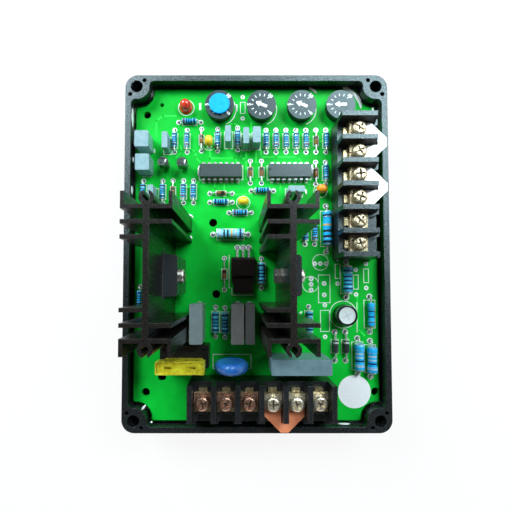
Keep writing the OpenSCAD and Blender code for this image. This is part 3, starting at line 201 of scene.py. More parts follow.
# Lacquer lies thick on the small transistors; the grey through their black is painted sheen.
epoxy_lacquered_painted_sheen = finish("lacquered_epoxy_painted_sheen", "1E2624", "66746E", 1.4, (0.06, 0.16), 0.15, edge=0.2,
                         Coat_Weight=1.0, Coat_Roughness=0.04)
# The chips' epoxy is greyer, with a fine satin grain.
chip_epoxy = finish("chip_moulding_epoxy", "2A3030", "465050", 0.25, (0.26, 0.42), 0.2, edge=0.1,
                    Specular_IOR_Level=0.8, Specular_Tint=COOL)
# Filled silicone pad: dull and soft.
silicone = finish("thermal_silicone", "26282A", "3E4244", 0.6, (0.5, 0.65), 0.1)
# Nylon of the fuse holder, moulded black with a satin face.
nylon = finish("black_nylon", "0A0A0B", "1A1A1C", 0.4, (0.28, 0.42), 0.1, edge=0.15)
# Polycarbonate of the fuse, dyed yellow: shiny, with darker places where it is clear.
fuse_pc = finish("yellow_polycarbonate", "C8AE00", "FFFA40", 1.8, (0.08, 0.2), 0.35, edge=0.3,
                 Transmission_Weight=0.05, IOR=1.58, Coat_Weight=0.6)
# Rolled zinc: grey and streaky.
zinc = finish("rolled_zinc", "C8C4B4", "F0EEE2", 0.8, (0.25, 0.4), 0.08, Metallic=1.0)
# Fluidised-bed epoxy over the varistor's disc: thick, glossy, a touch uneven.
coat_blue = finish("blue_dip_epoxy", "2E82FF", "48A8FF", 4.0, (0.14, 0.22), 0.03, edge=1.4,
                   Coat_Weight=0.7, Coat_Roughness=0.06)
# Shrunk sleeve round an aluminium can: glossy black. The can's drawn top is bright and matt.
can_sleeve = finish("shrink_sleeve", "0C1012", "1C2426", 1.5, (0.12, 0.22), 0.03, Specular_IOR_Level=0.8)
can_metal = finish("drawn_aluminium", "E2EEEA", "F4FAF8", 0.8, (0.3, 0.44), 0.06, Metallic=0.1)
# Polyester boxes of the film capacitors: smooth, in four greys and blues.
film_pale = finish("pale_polyester_box", "84A7AF", "99B8BD", 2.5, (0.26, 0.34), 0.02, edge=0.2)
film_slate = finish("slate_polyester_box", "7E8C8D", "8C9A9B", 3.0, (0.26, 0.34), 0.02, edge=0.2)
film_main = finish("grey_blue_polyester_box", "728F98", "809EA8", 3.0, (0.26, 0.34), 0.02, edge=0.2)
film_dark = finish("grey_polyester_box", "747473", "82817F", 3.0, (0.28, 0.36), 0.02, edge=0.2)
# Dipped resin of the bead capacitors: glossy yellow; one is orange.
bead_yellow = finish("yellow_dip_resin", "F4C800", "FFE63C", 1.6, (0.14, 0.24), 0.04, Coat_Weight=0.5)
# Tinted epoxy lens of the lamp: cast, red and shiny.
lens_red = finish("red_tinted_epoxy", "EC2A14", "FF4A2C", 2.0, (0.04, 0.1),
                  Transmission_Weight=0.2, IOR=1.53, Coat_Weight=0.6)
# Lacquer of metal film resistors: three blues, with rings of paint.
lacquer_blue = finish("sky_blue_lacquer", "10A0E0", "30C4F6", 1.4, (0.34, 0.48), 0.05,
                      Specular_IOR_Level=0.15)
lacquer_pale = finish("pale_blue_lacquer", "5CC8EC", "88E4FC", 1.4, (0.3, 0.44), 0.05,
                      Specular_IOR_Level=0.25)
lacquer_deep = finish("blue_lacquer", "249CC8", "4CC8E4", 1.4, (0.3, 0.44), 0.05,
                      Specular_IOR_Level=0.25)
ring_navy = finish("navy_ring_paint", "06204C", "103068", 0.8, (0.28, 0.4))
ring_dark = finish("black_ring_paint", "0A1016", "182028", 0.8, (0.28, 0.4))
ring_pale = finish("pale_ring_paint", "9CB2C4", "C8D8E4", 0.8, (0.28, 0.4))
ring_brown = finish("brown_ring_paint", "5A2A14", "80401E", 0.8, (0.28, 0.4))
ring_gold = finish("gold_ring_paint", "C08C34", "ECC06C", 0.8, (0.28, 0.4))
# Fired glass of the signal diodes: amber with a dark cathode ring.
glass_amber = finish("amber_diode_glass", "5C3418", "B07C46", 1.0, (0.06, 0.14), Coat_Weight=0.6)
ring_black = finish("cathode_ring_paint", "0A0808", "181412", 0.8, (0.3, 0.42))
ring_silver = finish("silver_ring_paint", "A8ACAE", "D8DCDE", 0.6, (0.3, 0.42))
# Thermoplastic of the dials, moulded: light grey face, dark skirt whose darkness is painted shade, a blue
# cap and white arrows.
dial_grey_painted_skirt_shade = finish("grey_thermoplastic_painted_skirt_shade", "141517", "242628", 0.5, (0.3, 0.44), 0.12, Specular_Tint=COOL)
rotor_grey = finish("rotor_thermoplastic", "2C3638", "444F51", 0.5, (0.3, 0.42), 0.12, edge=0.1,
                    Specular_Tint=COOL)
cap_blue = finish("blue_thermoplastic", "0AA2EA", "16BCF6", 2.5, (0.34, 0.44), 0.02, Specular_IOR_Level=0.2)
arrow_white = finish("white_thermoplastic", "E6E8E8", "FFFFFF", 0.8, (0.4, 0.5), 0.04)
# Coated paper: white, with a faint tooth.
paper = finish("coated_paper", "F2F4F2", "FFFFFF", 0.9, (0.5, 0.62), 0.03)

# The dials' faces, lighter than the skirts below them, which keep the darker grey as painted shade; the
# orange bead, the end block's other screws and the darker of the two snubbers.
colour_part(dial_grey_painted_skirt_shade, "Z", dial_z - 0.2 * MM, "343F41", rough=0.34)
colour_part(bead_yellow, "X", 25 * MM, "F49A14")
# Right of the end block's middle, the plates and screws are painted bright straw: painted reflection.
colour_part(rose_zinc_and_painted_glare, "X", 1.4 * MM, "FCF8DC", share=0.7)
colour_part(film_dark, "X", -5.5 * MM, "5C5F5D")

for name, mat in {
        "tray": tray_abs, "resin_bead": lacquer, "circuit_board": mask_green,
        "side_terminal_block": block_pbt, "end_terminal_block": block_pbt,
        "side_contact_plates": contact_brass, "end_contact_plates": contact_brass,
        "side_clamp_plates": yellow_zinc, "end_clamp_plates": rose_zinc_and_painted_glare,
        "side_terminal_screws": yellow_zinc, "end_terminal_screws": rose_zinc_and_painted_glare,
        "upper_side_link": tinned, "lower_side_link": tinned, "end_link": copper,
        "left_heat_sink": anodised, "right_heat_sink": anodised, "heat_sink_pins": tinned_wire,
        "left_power_device": epoxy, "right_power_device": epoxy, "power_device_leads": tinned_wire,
        "insulating_pads": silicone, "device_screws": zinc, "device_nuts": zinc,
        "flat_transistor": epoxy_brown, "flat_transistor_leads": tinned_wire,
        "fuse_holder": nylon, "fuse_clips": contact_brass, "fuse_body": fuse_pc, "fuse_element": zinc,
        "varistor": coat_blue, "electrolytic_capacitor": can_sleeve, "main_film_capacitor": film_main,
        "pale_snubber_capacitor": film_slate, "dark_snubber_capacitors": film_dark,
        "signal_film_capacitors": film_pale, "bead_capacitors": bead_yellow, "indicator_led": lens_red,
        "logic_chips": chip_epoxy, "chip_pins": tinned_wire, "small_transistors": epoxy_lacquered_painted_sheen,
        "small_resistors": tinned_wire, "half_watt_resistors": tinned_wire, "power_resistors": tinned_wire,
        "glass_diodes": tinned_wire, "rectifier_diodes": tinned_wire,
        "dial_housings": dial_grey_painted_skirt_shade, "dial_pins": tinned_wire,
        "rotor_1": rotor_grey, "rotor_2": rotor_grey, "rotor_3": rotor_grey, "rotor_4": rotor_grey,
        "blue_cap": cap_blue, "pointer_2": arrow_white, "pointer_3": arrow_white, "pointer_4": arrow_white,
        "inspection_sticker": paper}.items():
    nodes[name].data.materials.clear()
    nodes[name].data.materials.append(mat)


# Modelling

def start_mesh(name):
    """An empty mesh in edit mode, alone in the selection."""
    bpy.ops.object.select_all(action="DESELECT")
    bpy.ops.object.add(type="MESH", location=(0, 0, 0))
    piece = bpy.context.object
    piece.name = name
    bpy.ops.object.mode_set(mode="EDIT")
    return piece


def end_mesh(piece, thickness=0.0, smooth=35):
    """Leaves edit mode; a flat sheet gets its thickness, and all faces point outwards."""
    bpy.ops.object.mode_set(mode="OBJECT")
    if thickness:
        solid = piece.modifiers.new("thickness", "SOLIDIFY")
        solid.thickness = thickness * MM
        solid.offset = 0
        bpy.ops.object.modifier_apply(modifier=solid.name)
    bpy.ops.object.mode_set(mode="EDIT")
    bpy.ops.mesh.select_all(action="SELECT")
    bpy.ops.mesh.normals_make_consistent(inside=False)
    bpy.ops.object.mode_set(mode="OBJECT")
    bpy.ops.object.shade_smooth_by_angle(angle=math.radians(smooth))
    return piece


def belongs(piece, slot, *mats):
    """The piece rides on the regulator and takes its materials."""
    for mat in mats:
        piece.data.materials.append(mat)
    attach(piece, BODY)


def copies(name, piece, places, z, *mats):
    """One copy of a piece with its materials at each place, joined as one object; the pattern goes."""
    for mat in mats:
        piece.data.materials.append(mat)
    bpy.ops.object.select_all(action="DESELECT")
    for x, y, turn in places:
        twin = piece.copy()
        twin.data = piece.data.copy()
        bpy.context.collection.objects.link(twin)
        spot = Matrix.Translation((x * MM, y * MM, z)) @ Matrix.Rotation(math.radians(turn), 4, "Z")
        twin.data.transform(spot)
        twin.select_set(True)
        bpy.context.view_layer.objects.active = twin
    bpy.data.objects.remove(piece)
    if len(places) > 1:
        bpy.ops.object.join()
    whole = bpy.context.object
    whole.name = name
    return whole


def turned_body(rings, bands=(), sides=28):
    """A body turned about X from rings of (place, radius); bands of (from, to, slot) are painted."""
    place, radius = rings[0]
    bpy.ops.object.select_all(action="DESELECT")
    bpy.ops.mesh.primitive_circle_add(vertices=sides, radius=radius * MM, fill_type="NGON",
                                      location=(place * MM, 0, 0), rotation=(0, math.pi / 2, 0))
    piece = bpy.context.object
    bpy.ops.object.transform_apply(location=True, rotation=True, scale=True)
    bpy.ops.object.mode_set(mode="EDIT")
    bpy.ops.mesh.select_all(action="SELECT")
    for (xa, ra), (xb, rb) in zip(rings, rings[1:]):
        bpy.ops.mesh.extrude_region_move(TRANSFORM_OT_translate={"value": ((xb - xa) * MM, 0, 0)})
        bpy.ops.transform.resize(value=(1, rb / ra, rb / ra), center_override=(xb * MM, 0, 0))
    end_mesh(piece)
    for face in piece.data.polygons:
        for low, high, slot in bands:
            if low < face.center.x / MM < high:
                face.material_index = slot
    return piece


def resistor_body(length, d, waist, cup, shoulder, rings_at, skin=0.03):
    """A dog-bone body over the CAD one, with painted rings of (middle, width, slot) along it."""
    half, r = length / 2 + skin, d / 2 + skin
    low = r - waist
    stops = {-half: r - shoulder, -half + 0.12 * shoulder: r - 0.55 * shoulder,
             -half + 0.45 * shoulder: r - 0.16 * shoulder, -half + shoulder: r, -half + cup - 0.15: r,
             -half + cup + 0.2: low}
    stops.update({-x: y for x, y in stops.items()})
    bands = [(m - w / 2, m + w / 2, s) for m, w, s in rings_at]
    for a, b, _ in bands:
        for x in (a, b):
            stops[x] = r if abs(x) > half - cup else low
    return turned_body(sorted(stops.items()), bands)


def plate(x, y, w, h, turn, z):
    """A flat plate round a middle, turned about it."""
    middle = (x * MM, y * MM, z)
    bpy.ops.mesh.primitive_plane_add(size=MM, location=middle)
    bpy.ops.transform.resize(value=(w, h, 1), center_override=middle)
    if turn:
        bpy.ops.transform.rotate(value=-math.radians(turn), orient_axis="Z", center_override=middle)


def line(points, width, z):
    """A printed line through points in millimetres, one strip for each stretch."""
    for (xa, ya), (xb, yb) in zip(points, points[1:]):
        run = math.hypot(xb - xa, yb - ya) + width * 0.9
        plate((xa + xb) / 2, (ya + yb) / 2, run, width, math.degrees(math.atan2(yb - ya, xb - xa)), z)


def frame_line(x, y, w, h, turn, width, z):
    """A printed box: a plate with its inside cut out."""
    plate(x, y, w, h, turn, z)
    bpy.ops.mesh.inset(thickness=width * MM)
    bpy.ops.mesh.delete(type="FACE")


def ring(x, y, inner, outer, z, sides=40):
    """A printed ring."""
    middle = (x * MM, y * MM, z)
    bpy.ops.mesh.primitive_circle_add(vertices=sides, radius=inner * MM, fill_type="NOTHING",
                                      location=middle)
    bpy.ops.mesh.extrude_region_move()
    bpy.ops.transform.resize(value=(outer / inner, outer / inner, 1), center_override=middle)


def along(places, pitch, count=2):
    """Lead places of parts with a row of leads."""
    out = []
    for x, y, turn in places:
        for i in range(count):
            o = (i - (count - 1) / 2) * pitch
            out.append((x + o * math.cos(math.radians(turn)), y + o * math.sin(math.radians(turn)), 0))
    return out


# Bodies of the wired parts

# Forms: length, diameter, depth of the waist, length of the end cups and their rounding.
SMALL = (6.3, 2.3, 0.15, 1.6, 0.5)
HALF = (9, 3, 0.2, 2.2, 0.6)
POWER = (11.5, 4.2, 0.25, 2.8, 0.9)
LONG = (14.9, 4.2, 0.25, 2.8, 0.9)
SLIMMER = (10.2, 3, 0.2, 2.2, 0.6)
RING_PAINTS = (ring_navy, ring_dark, ring_pale, ring_brown, ring_gold)
NAVY, DARK, PALE, BROWN, GOLD = range(1, 6)
# Three ring codes of the small resistors: middle, width and paint of each ring.
SMALL_RINGS = [
    [(-2.3, 0.7, DARK), (-1.1, 0.5, NAVY), (-0.1, 0.5, DARK), (0.9, 0.5, NAVY), (2.3, 0.7, NAVY)],
    [(-2.3, 0.7, BROWN), (-1.1, 0.5, NAVY), (-0.1, 0.5, NAVY), (0.9, 0.5, DARK), (2.3, 0.7, DARK)],
    [(-2.3, 0.7, NAVY), (-1.1, 0.5, DARK), (-0.1, 0.5, NAVY), (0.9, 0.5, NAVY), (2.3, 0.7, DARK)]]
# Name, form, places, height of the axis over the board, lacquer and rings.
RESISTORS = [(f"quarter_watt_bodies_{i + 1}", SMALL, QUARTER_WATT[i::3], 1.35, lacquer_blue, rings_at)
             for i, rings_at in enumerate(SMALL_RINGS)] + [
    ("half_watt_bodies", HALF, HALF_WATT, 1.7, lacquer_deep,
     [(-3.3, 0.8, DARK), (-1.6, 0.7, NAVY), (-0.2, 0.7, DARK), (1.2, 0.7, NAVY), (3.3, 0.8, DARK)]),
    ("pale_one_watt_body", POWER, ONE_WATT[:1], 2.5, lacquer_pale,
     [(-4.4, 0.9, PALE), (-2.7, 0.8, DARK), (-1.1, 0.8, DARK), (0.6, 0.8, GOLD), (2.3, 0.8, PALE),
      (4.4, 0.8, NAVY)]),
    ("navy_ringed_body", POWER, ONE_WATT[1:2], 2.5, lacquer_deep,
     [(-3.9, 0.8, NAVY), (-2.0, 0.7, NAVY), (-0.4, 0.7, NAVY), (1.3, 0.7, NAVY), (3.9, 0.8, NAVY)]),
    ("one_watt_bodies", POWER, ONE_WATT[2:], 2.5, lacquer_blue,
     [(-3.7, 0.7, PALE), (-1.5, 0.7, NAVY), (0, 0.6, PALE), (1.6, 0.7, PALE)]),
    ("slim_body", SLIMMER, SLIM, 1.9, lacquer_blue,
     [(-3.2, 0.6, NAVY), (-1.0, 0.6, NAVY), (1.4, 0.6, NAVY)]),
    ("two_watt_body", LONG, TWO_WATT, 2.5, lacquer_blue,
     [(-6.2, 1.0, DARK), (-3.9, 1.0, DARK), (-1.5, 1.0, DARK), (1.2, 0.8, GOLD), (5.4, 0.8, DARK)])]
for name, form, places, lift, skin, rings_at in RESISTORS:
    pattern = resistor_body(*form, rings_at)
    belongs(copies(name, pattern, places, board_z + lift * MM, skin, *RING_PAINTS), "resistor_blue")


def bead_rings(length, d, shoulder, stops, skin=0.03):
    """Rings of a plain bead over the CAD one, with extra stops for its painted ring."""
    half_l, r = length / 2 + skin, d / 2 + skin
    out = {-half_l: r - shoulder, -half_l + 0.3 * shoulder: r - 0.28 * shoulder, -half_l + shoulder: r}
    out.update({-x: y for x, y in out.items()})
    out.update({x: r for x in stops})
    return sorted(out.items())


pattern = turned_body(bead_rings(4, 1.7, 0.38, (0.3, 1.4)), [(0.3, 1.4, 1)])
glass = copies("diode_glass_bodies", pattern, GLASS + LONG_DIODE, board_z + 1.05 * MM,
               glass_amber, ring_black)
belongs(glass, "diode_glass")
pattern = turned_body(bead_rings(5.2, 2.4, 0.25, (1.4, 2.1)), [(1.4, 2.1, 1)])
rectifier = copies("rectifier_bodies", pattern, RECTIFIER, board_z + 1.4 * MM, epoxy, ring_silver)
belongs(rectifier, "epoxy_black")


# Board: tinned pads, copper runs under the mask and white print

def pad_pattern(inner, outer):
    """A tinned ring."""
    piece = start_mesh("pad")
    ring(0, 0, inner, outer, 0, 20)
    return end_mesh(piece, 0.04)


def solder_cone(lead, foot):
    """A hollow-sided cone of solder round a lead."""
    waist = 0.6 * foot + 0.4 * lead
    piece = start_mesh("cone")
    ring(0, 0, foot, waist, 0, 16)
    bpy.ops.transform.translate(value=(0, 0, 0.16 * MM))
    bpy.ops.mesh.extrude_region_move(TRANSFORM_OT_translate={"value": (0, 0, 0.24 * MM)})
    bpy.ops.transform.resize(value=(lead / waist, lead / waist, 1), center_override=(0, 0, 0.4 * MM))
    return end_mesh(piece, smooth=60)


small_leads = (along(QUARTER_WATT, 10) + along(GLASS, 10) + along(LONG_DIODE, 14) + along(HALF_WATT, 13)
               + along(BOX_CAPS, 5) + along(BEADS, 2.54) + along([LAMP], 2.54) + along([CAN], 3.5))
chip_leads = [(x + (i - 3) * 2.54, y + s * 3.81, 0) for x, y, _ in CHIPS for i in range(7) for s in (-1, 1)]
transistor_leads = along(SMALL_TRANSISTORS, 1.4, 3)
heavy_leads = (along(ONE_WATT + SLIM, 15.6) + along(TWO_WATT, 20.6) + along(RECTIFIER, 12.5)
               + along(SNUBBERS, 15) + along([MAIN_CAP], 20) + along([VARISTOR], 7.5)
               + along([FLAT_DEVICE_LEADS], 2.54, 3) + along(POWER_DEVICE_LEADS, 5.45, 3))
# Places that are left empty on this board.
BARE_PADS = [(26.2, -5.2, 0), (28.7, -5.2, 0), (31.3, -5.2, 0), (24.5, -12, 0), (24.5, -14.4, 0),
             (24.5, -16.9, 0), (30.3, -14, 0), (30.3, -19.1, 0)]
for name, places, inner, outer in (
        ("small_pads", small_leads, 0.7, 1.12), ("chip_pads", chip_leads, 0.55, 0.9),
        ("transistor_pads", transistor_leads, 0.35, 0.62), ("heavy_pads", heavy_leads, 0.8, 1.3),
        ("bare_pads", BARE_PADS, 0.3, 1.05)):
    belongs(copies(name, pad_pattern(inner, outer), places, board_z + 0.02 * MM, solder_tin), "tinned_lead")
for name, places, lead, foot in (("small_solder", small_leads, 0.3, 0.72),
                                 ("heavy_solder", heavy_leads, 0.4, 0.82)):
    belongs(copies(name, solder_cone(lead, foot), places, board_z + 0.01 * MM, solder_painted_shade), "tinned_lead")

# Copper runs that show through the mask, point by point.
RUNS = [
    [(-36.3, 61.9), (-42.1, 61.9), (-45, 59.7), (-45, 52.5)],
    [(-34, 48), (-33.4, 45.4), (-36, 42.8)],
    [(-30.3, 47.4), (-27.1, 45.3), (-27.1, 43), (-25.2, 40.7)],
    [(-20.7, 47), (-20.7, 42.4), (-9.7, 42.4), (-7.4, 39.8)],
    [(-6.6, 45.6), (-6.6, 42.6), (-2.5, 41)],
    [(-4.4, 46), (-4.4, 33)],
    [(-18.6, 31), (-18.6, 28.6), (-20.6, 26.4)],
    [(-14.2, 31), (-14.2, 22.4)],
    [(-24, 33), (-28, 29.5), (-34, 29.5)],
    [(2.4, 45.8), (2.4, 43), (18.8, 43), (20.6, 40.7)],
    [(0.1, 45.8), (0.1, 40.6)],
    [(9.1, 45.3), (9.1, 43)],
    [(23, 50.3), (33, 50.3)],
    [(-2.1, 58.6), (-2.1, 55)],
    [(-12.4, 57.4), (-10.2, 58.8), (-7.4, 56.8)],
    [(11, 31.4), (11, 28)],
    [(22, 31.5), (25, 30), (26.9, 30.6)],
    [(-10, 26), (-1, 26), (1.4, 27.6)],
    [(32, -2), (36, 6), (36, 14)],
    [(33, -26), (33, -34)],
    [(45, -20), (45, -34), (48, -37)]]
runs = start_mesh("copper_runs")
for path in RUNS:
    line(path, 0.7, board_z + 0.008 * MM)
end_mesh(runs, 0.012)
belongs(runs, "board_green", trace_green)

ink = start_mesh("white_print")
ink_z = board_z + 0.018 * MM
PRINT = 0.28                               # width of a printed line
for places, length, width in (
        (QUARTER_WATT, 7.0, 3.0), (GLASS + LONG_DIODE, 4.8, 2.6), (HALF_WATT, 9.8, 3.8),
        (ONE_WATT + SLIM, 12.6, 5.2), (TWO_WATT, 16.2, 5.2), (RECTIFIER, 6.2, 3.4), (BOX_CAPS, 8, 4),
        (CHIPS, 20, 6.6)):
    for x, y, turn in places:
        frame_line(x, y, length, width, turn, PRINT, ink_z)
for x, y in DIALS:
    # Only the right half of each dial's ring is printed.
    ring(x, y, 7.0, 7.35, ink_z, 64)
    bpy.ops.mesh.bisect(plane_co=((x + 1.2) * MM, y * MM, 0), plane_no=(1, 0.25, 0), clear_inner=True)
for x, y, _ in BEADS:
    ring(x, y, 2.9, 3.15, ink_z)
ring(*LAMP[:2], 3.4, 3.7, ink_z)
ring(*CAN[:2], 5.85, 6.15, ink_z, 64)
for x, y, w, h in ((*VARISTOR[:2], 17, 6.4), (-5.9, 65.6, 2.4, 5.4), (30.3, -16.4, 5.4, 12.6)):
    frame_line(x, y, w, h, 0, PRINT, ink_z)
line([(-12, -1.4), (-12, -16), (-10.8, -16), (-10.8, -19.2), (-1.2, -19.2)], PRINT, ink_z)
for x, y, w, h in ((-25.2, 66.2, 1.0, 3.2), (-8.8, 65.6, 1.0, 3.2)):
    plate(x, y, w, h, 0, ink_z)
for y in (70.6, 60.7):
    ring(-5.9, y, 0.35, 1.0, ink_z, 20)
ring(28.7, -4.6, 3.4, 3.65, ink_z)
ring(24.2, -14.4, 3.4, 3.65, ink_z)
for x, y, w, h in ((36.3, -8.6, 2.4, 6.6), (44.4, -13.4, 2.4, 6.6), (49.0, -10.6, 2.4, 6.4),
                   (30.5, -30.6, 4.2, 9.6)):
    frame_line(x, y, w, h, 0, PRINT, ink_z)
    ring(x, y + h / 2 + 2.2, 0.35, 1.0, ink_z, 20)
    ring(x, y - h / 2 - 2.2, 0.35, 1.0, ink_z, 20)
line([(44.7, -22.5), (44.7, -35.6)], PRINT, ink_z)
end_mesh(ink, 0.02)
belongs(ink, "pointer_white", ink_white)


# Painted shade in the crossed slots of the terminal screws; a link lifts its screws

recess_shade = start_mesh("screw_recesses")
head_z = board_z + 12.9 * MM
link_lift = 0.8 * MM
SLOT = (3.8, 0.76)                         # length and width of a slot
for i in range(TERMINALS):
    step = (i - (TERMINALS - 1) / 2) * TERMINAL_PITCH
    for x, y, linked in ((SIDE_BLOCK[0], SIDE_BLOCK[1] + step, i in SIDE_LINKED),
                         (END_BLOCK[0] + step, END_BLOCK[1], i in END_LINKED)):
        z = head_z + link_lift * linked
        plate(x, y, *SLOT, 0, z)
        plate(x, y, *SLOT, 90, z + 0.01 * MM)
end_mesh(recess_shade, 0.01)
belongs(recess_shade, "plated_steel", slot_painted_shade)


# The can's drawn top: a rolled rim, a flat with a raised middle, and a score across it

low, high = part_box("electrolytic_capacitor")
can_x, can_y = (low.x + high.x) / 2, (low.y + high.y) / 2
top = start_mesh("can_top")
bpy.ops.mesh.primitive_circle_add(vertices=48, radius=3.59 * MM, fill_type="NGON",
                                  location=(can_x, can_y, high.z - 0.31 * MM))
for inwards, up in ((0.3, 0.16), (0.35, -0.1), (1.5, 0.04)):
    bpy.ops.mesh.inset(thickness=inwards * MM, depth=up * MM)
end_mesh(top)
belongs(top, "can_sleeve", can_metal)
score = start_mesh("can_score")
for turn in (30, 120):
    plate(can_x / MM, can_y / MM, 4.2, 0.22, turn, high.z - 0.19 * MM)
end_mesh(score, 0.03)
belongs(score, "can_sleeve", ring_silver)


# Lacquer that has pooled along the walls, round the last dials and at the feet of tall parts; its white is
# painted highlight

def lacquer_drop(x, y, z, sizes, turn, bend=0.0):
    """A drop over the board with its half sizes and turn.
    A bent one lies on a circle of that radius round the place, its middle at the turn."""
    bpy.ops.object.select_all(action="DESELECT")
    bpy.ops.mesh.primitive_uv_sphere_add(segments=32, ring_count=12, radius=MM,
                                         rotation=(0, math.pi / 2, 0))
    bpy.ops.object.transform_apply(location=True, rotation=True, scale=True)
    drop = bpy.context.object
    bpy.ops.object.mode_set(mode="EDIT")
    bpy.ops.mesh.select_all(action="SELECT")
    bpy.ops.transform.resize(value=sizes, center_override=(0, 0, 0))
    bpy.ops.object.mode_set(mode="OBJECT")
    if bend:
        for corner in drop.data.vertices:
            reach, along_it = bend * MM + corner.co.y, -corner.co.x / (bend * MM)
            corner.co = (reach * math.cos(along_it), reach * math.sin(along_it), corner.co.z)
    end_mesh(drop, smooth=180)
    return copies("pool", drop, [(x, y, turn)], board_z + z * MM)


wet_top = (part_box("small_transistors")[1].z - board_z) / MM
# x, y and height of the middle, half sizes, turn, and radius of the bend.
WALL_DROPS = [
    (-54.7, 59.4, 3.2, (0.35, 4.4, 1.5), 0), (-54.7, 27.0, 3.0, (0.35, 1.9, 1.3), 0),
    (-54.6, 41.0, 2.0, (0.35, 1.2, 0.9), 0), (37.8, -74.6, 2.2, (2.7, 0.35, 0.9), 0),
    (-48.2, -66.9, 4.4, (0.5, 1.3, 0.3), -40), (-45.2, -73.6, 3.0, (0.5, 0.5, 0.5), 0),
    (52.6, 62.0, 1.0, (0.5, 3.4, 0.8), 0)]
PART_DROPS = [
    (3.9, 49.4, 0.4, (0.4, 2.6, 0.35), 0), (22.4, 27.0, 0.4, (0.45, 1.3, 0.35), 8),
    (-45.7, 45.6, 0.3, (0.4, 1.1, 0.3), 0), (-25.8, 36.5, 0.2, (0.45, 2.1, 0.4), 0),
    (25.4, 37.2, 0.2, (0.6, 2.5, 0.4), 0), (-39.4, 38.9, wet_top, (0.3, 0.9, 0.12), -15),
    (-31.0, 38.6, wet_top, (0.35, 1.0, 0.12), -10)]
DIAL_DROPS = [(*DIALS[3], 0.1, (7.1, 0.95, 0.3), 41, 10.4), (*DIALS[2], 0.1, (2.2, 0.6, 0.3), 57, 10.8)]
SINK_DROPS = [
    (-29.9, 14.9, 0.1, (2.4, 0.45, 0.45), 90, 1.7), (-30.4, 6.3, 0.1, (1.7, 0.4, 0.45), -15, 1.5),
    (4.4, 15.6, 0.1, (1.6, 0.3, 0.35), 165, 1.6), (4.6, 7.6, 0.1, (1.6, 0.3, 0.35), 175, 1.5),
    (4.6, 2.0, 0.1, (1.4, 0.3, 0.35), 190, 1.5), (19.7, -27.0, 0.1, (0.9, 0.45, 0.4), 30),
    (19.6, -35.0, 0.1, (0.9, 0.45, 0.4), 10)]
pools = [lacquer_drop(*drop) for drop in WALL_DROPS + PART_DROPS + DIAL_DROPS + SINK_DROPS]
bpy.ops.object.select_all(action="DESELECT")
for pool in pools:
    pool.select_set(True)
bpy.ops.object.join()
bpy.context.object.name = "lacquer_pools_painted_glints"
belongs(bpy.context.object, "clear_resin", lacquer_painted_glint)


# Dial scales: eleven strokes over 270 degrees, and the numbers 0, 5 and 10

scale_z = dial_z + 0.02 * MM
STROKE_R = (3.9, 4.7)                      # radii of a stroke's two ends
NUMBER_R = 5.45                            # radius of the numbers' middles
marks = start_mesh("dial_strokes")
for x, y in DIALS:
    for i in range(11):
        a = math.radians(45 + 27 * i)
        line([(x + r * math.cos(a), y + r * math.sin(a)) for r in STROKE_R], 0.36, scale_z)
end_mesh(marks, 0.03)
belongs(marks, "pointer_white", ink_white)
for i, (x, y) in enumerate(DIALS):
    for number, angle in (("0", 315), ("5", 180), ("10", 45)):
        a = math.radians(angle)
        bpy.ops.object.select_all(action="DESELECT")
        middle = ((x + NUMBER_R * math.cos(a)) * MM, (y + NUMBER_R * math.sin(a)) * MM, scale_z)
        bpy.ops.object.text_add(location=middle, rotation=(0, 0, a - math.pi / 2))
        digit = bpy.context.object
        digit.name = f"dial_{i + 1}_number_{number}"
        digit.data.body = number
        digit.data.size = 2.1 * MM
        digit.data.offset = 0.09 * MM
        digit.data.align_x = "CENTER"
        digit.data.align_y = "CENTER"
        digit.data.extrude = 0.015 * MM
        bpy.ops.object.convert(target="MESH")
        bpy.ops.object.transform_apply(location=True, rotation=True, scale=True)
        belongs(digit, "pointer_white", ink_white)


# Floor, light and camera

bpy.ops.object.select_all(action="DESELECT")
bpy.ops.mesh.primitive_plane_add(size=6, location=(0, 0, -0.2 * MM))
floor = bpy.context.object
floor.name = "floor"
bpy.ops.mesh.primitive_cylinder_add(vertices=96, radius=2.9, depth=2, end_fill_type="NOTHING",
                                    location=(0, 0, 1))
backdrop = bpy.context.object
backdrop.name = "backdrop"
# White card that glows only where it is seen, also in metal and glass, and lights no matt surface.
# It stays dark under the tray, so that the bolt holes do too.
TRAY_SHADE = (55 * MM, 75 * MM)
white = bpy.data.materials.new("white_card")
white.use_nodes = True
tree = white.node_tree
tree.nodes.remove(tree.nodes["Principled BSDF"])
rays = node(white, "LightPath").outputs
seen = node(white, "Math", {0: rays["Is Camera Ray"], 1: rays["Is Glossy Ray"]}, operation="MAXIMUM")
seen = node(white, "Math", {0: seen.outputs[0], 1: rays["Is Transmission Ray"]}, operation="MAXIMUM")
spot = node(white, "VectorMath", {0: node(white, "TexCoord").outputs["Object"]}, operation="ABSOLUTE")
spot = node(white, "SeparateXYZ", {0: spot.outputs[0]}).outputs
beside = node(white, "Math", {0: spot[0], 1: TRAY_SHADE[0]}, operation="GREATER_THAN")
beyond = node(white, "Math", {0: spot[1], 1: TRAY_SHADE[1]}, operation="GREATER_THAN")
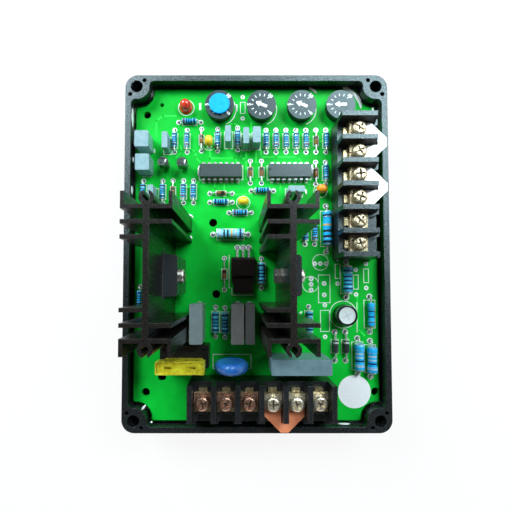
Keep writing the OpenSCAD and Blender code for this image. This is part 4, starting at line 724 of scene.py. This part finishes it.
clear = node(white, "Math", {0: beside.outputs[0], 1: beyond.outputs[0]}, operation="MAXIMUM")
share = node(white, "Math", {0: seen.outputs[0], 1: clear.outputs[0]}, operation="MULTIPLY")
share = node(white, "Math", {0: share.outputs[0], 1: 0.9}, operation="MULTIPLY")
card = node(white, "BsdfDiffuse", {"Color": linear("F4F4F4")})
glow = node(white, "Emission", {"Color": (1, 1, 1, 1), "Strength": 1.0})
both = node(white, "MixShader", {0: share.outputs[0], 1: card.outputs[0], 2: glow.outputs[0]})
tree.links.new(both.outputs[0], tree.nodes["Material Output"].inputs["Surface"])
for sheet in (floor, backdrop):
    sheet.data.materials.append(white)

world = bpy.context.scene.world or bpy.data.worlds.new("studio")
bpy.context.scene.world = world
world.use_nodes = True
world.node_tree.nodes["Background"].inputs["Color"].default_value = linear("FFF4EC")
world.node_tree.nodes["Background"].inputs["Strength"].default_value = 0.08


def panel(name, place, turn, width, height, watts, code):
    """A soft panel with its turns about X, Y and Z in degrees."""
    bpy.ops.object.light_add(type="AREA", location=place, rotation=[math.radians(t) for t in turn])
    lamp = bpy.context.object
    lamp.name = name
    lamp.data.shape = "RECTANGLE"
    lamp.data.size = width
    lamp.data.size_y = height
    lamp.data.energy = watts
    lamp.data.color = linear(code)[:3]


panel("key_panel", (-0.50, 0.50, 0.50), (-54.7, 0, 45), 0.45, 0.35, 9.5, "E8F4FC")
panel("rim_panel", (0.36, 0.40, 0.60), (0, 0, -37.6), 0.55, 0.36, 9.5, "E4F4FC")

# The camera that fits the photograph: focal length and shifts in pixels of its 512.
bpy.ops.object.camera_add(location=(-7.6 * MM, -15.7 * MM, board_z + 150 * MM),
                          rotation=(math.radians(2.08), 0, 0))
camera = bpy.context.object
SENSOR, FRAME_PX, FOCAL_PX = 36, 512, 337
camera.data.lens = SENSOR * FOCAL_PX / FRAME_PX
camera.data.sensor_width = SENSOR
camera.data.shift_x = 17 / FRAME_PX
camera.data.shift_y = 19 / FRAME_PX
camera.data.clip_start = 0.005
bpy.context.scene.camera = camera
bpy.context.scene.view_settings.view_transform = "Standard"
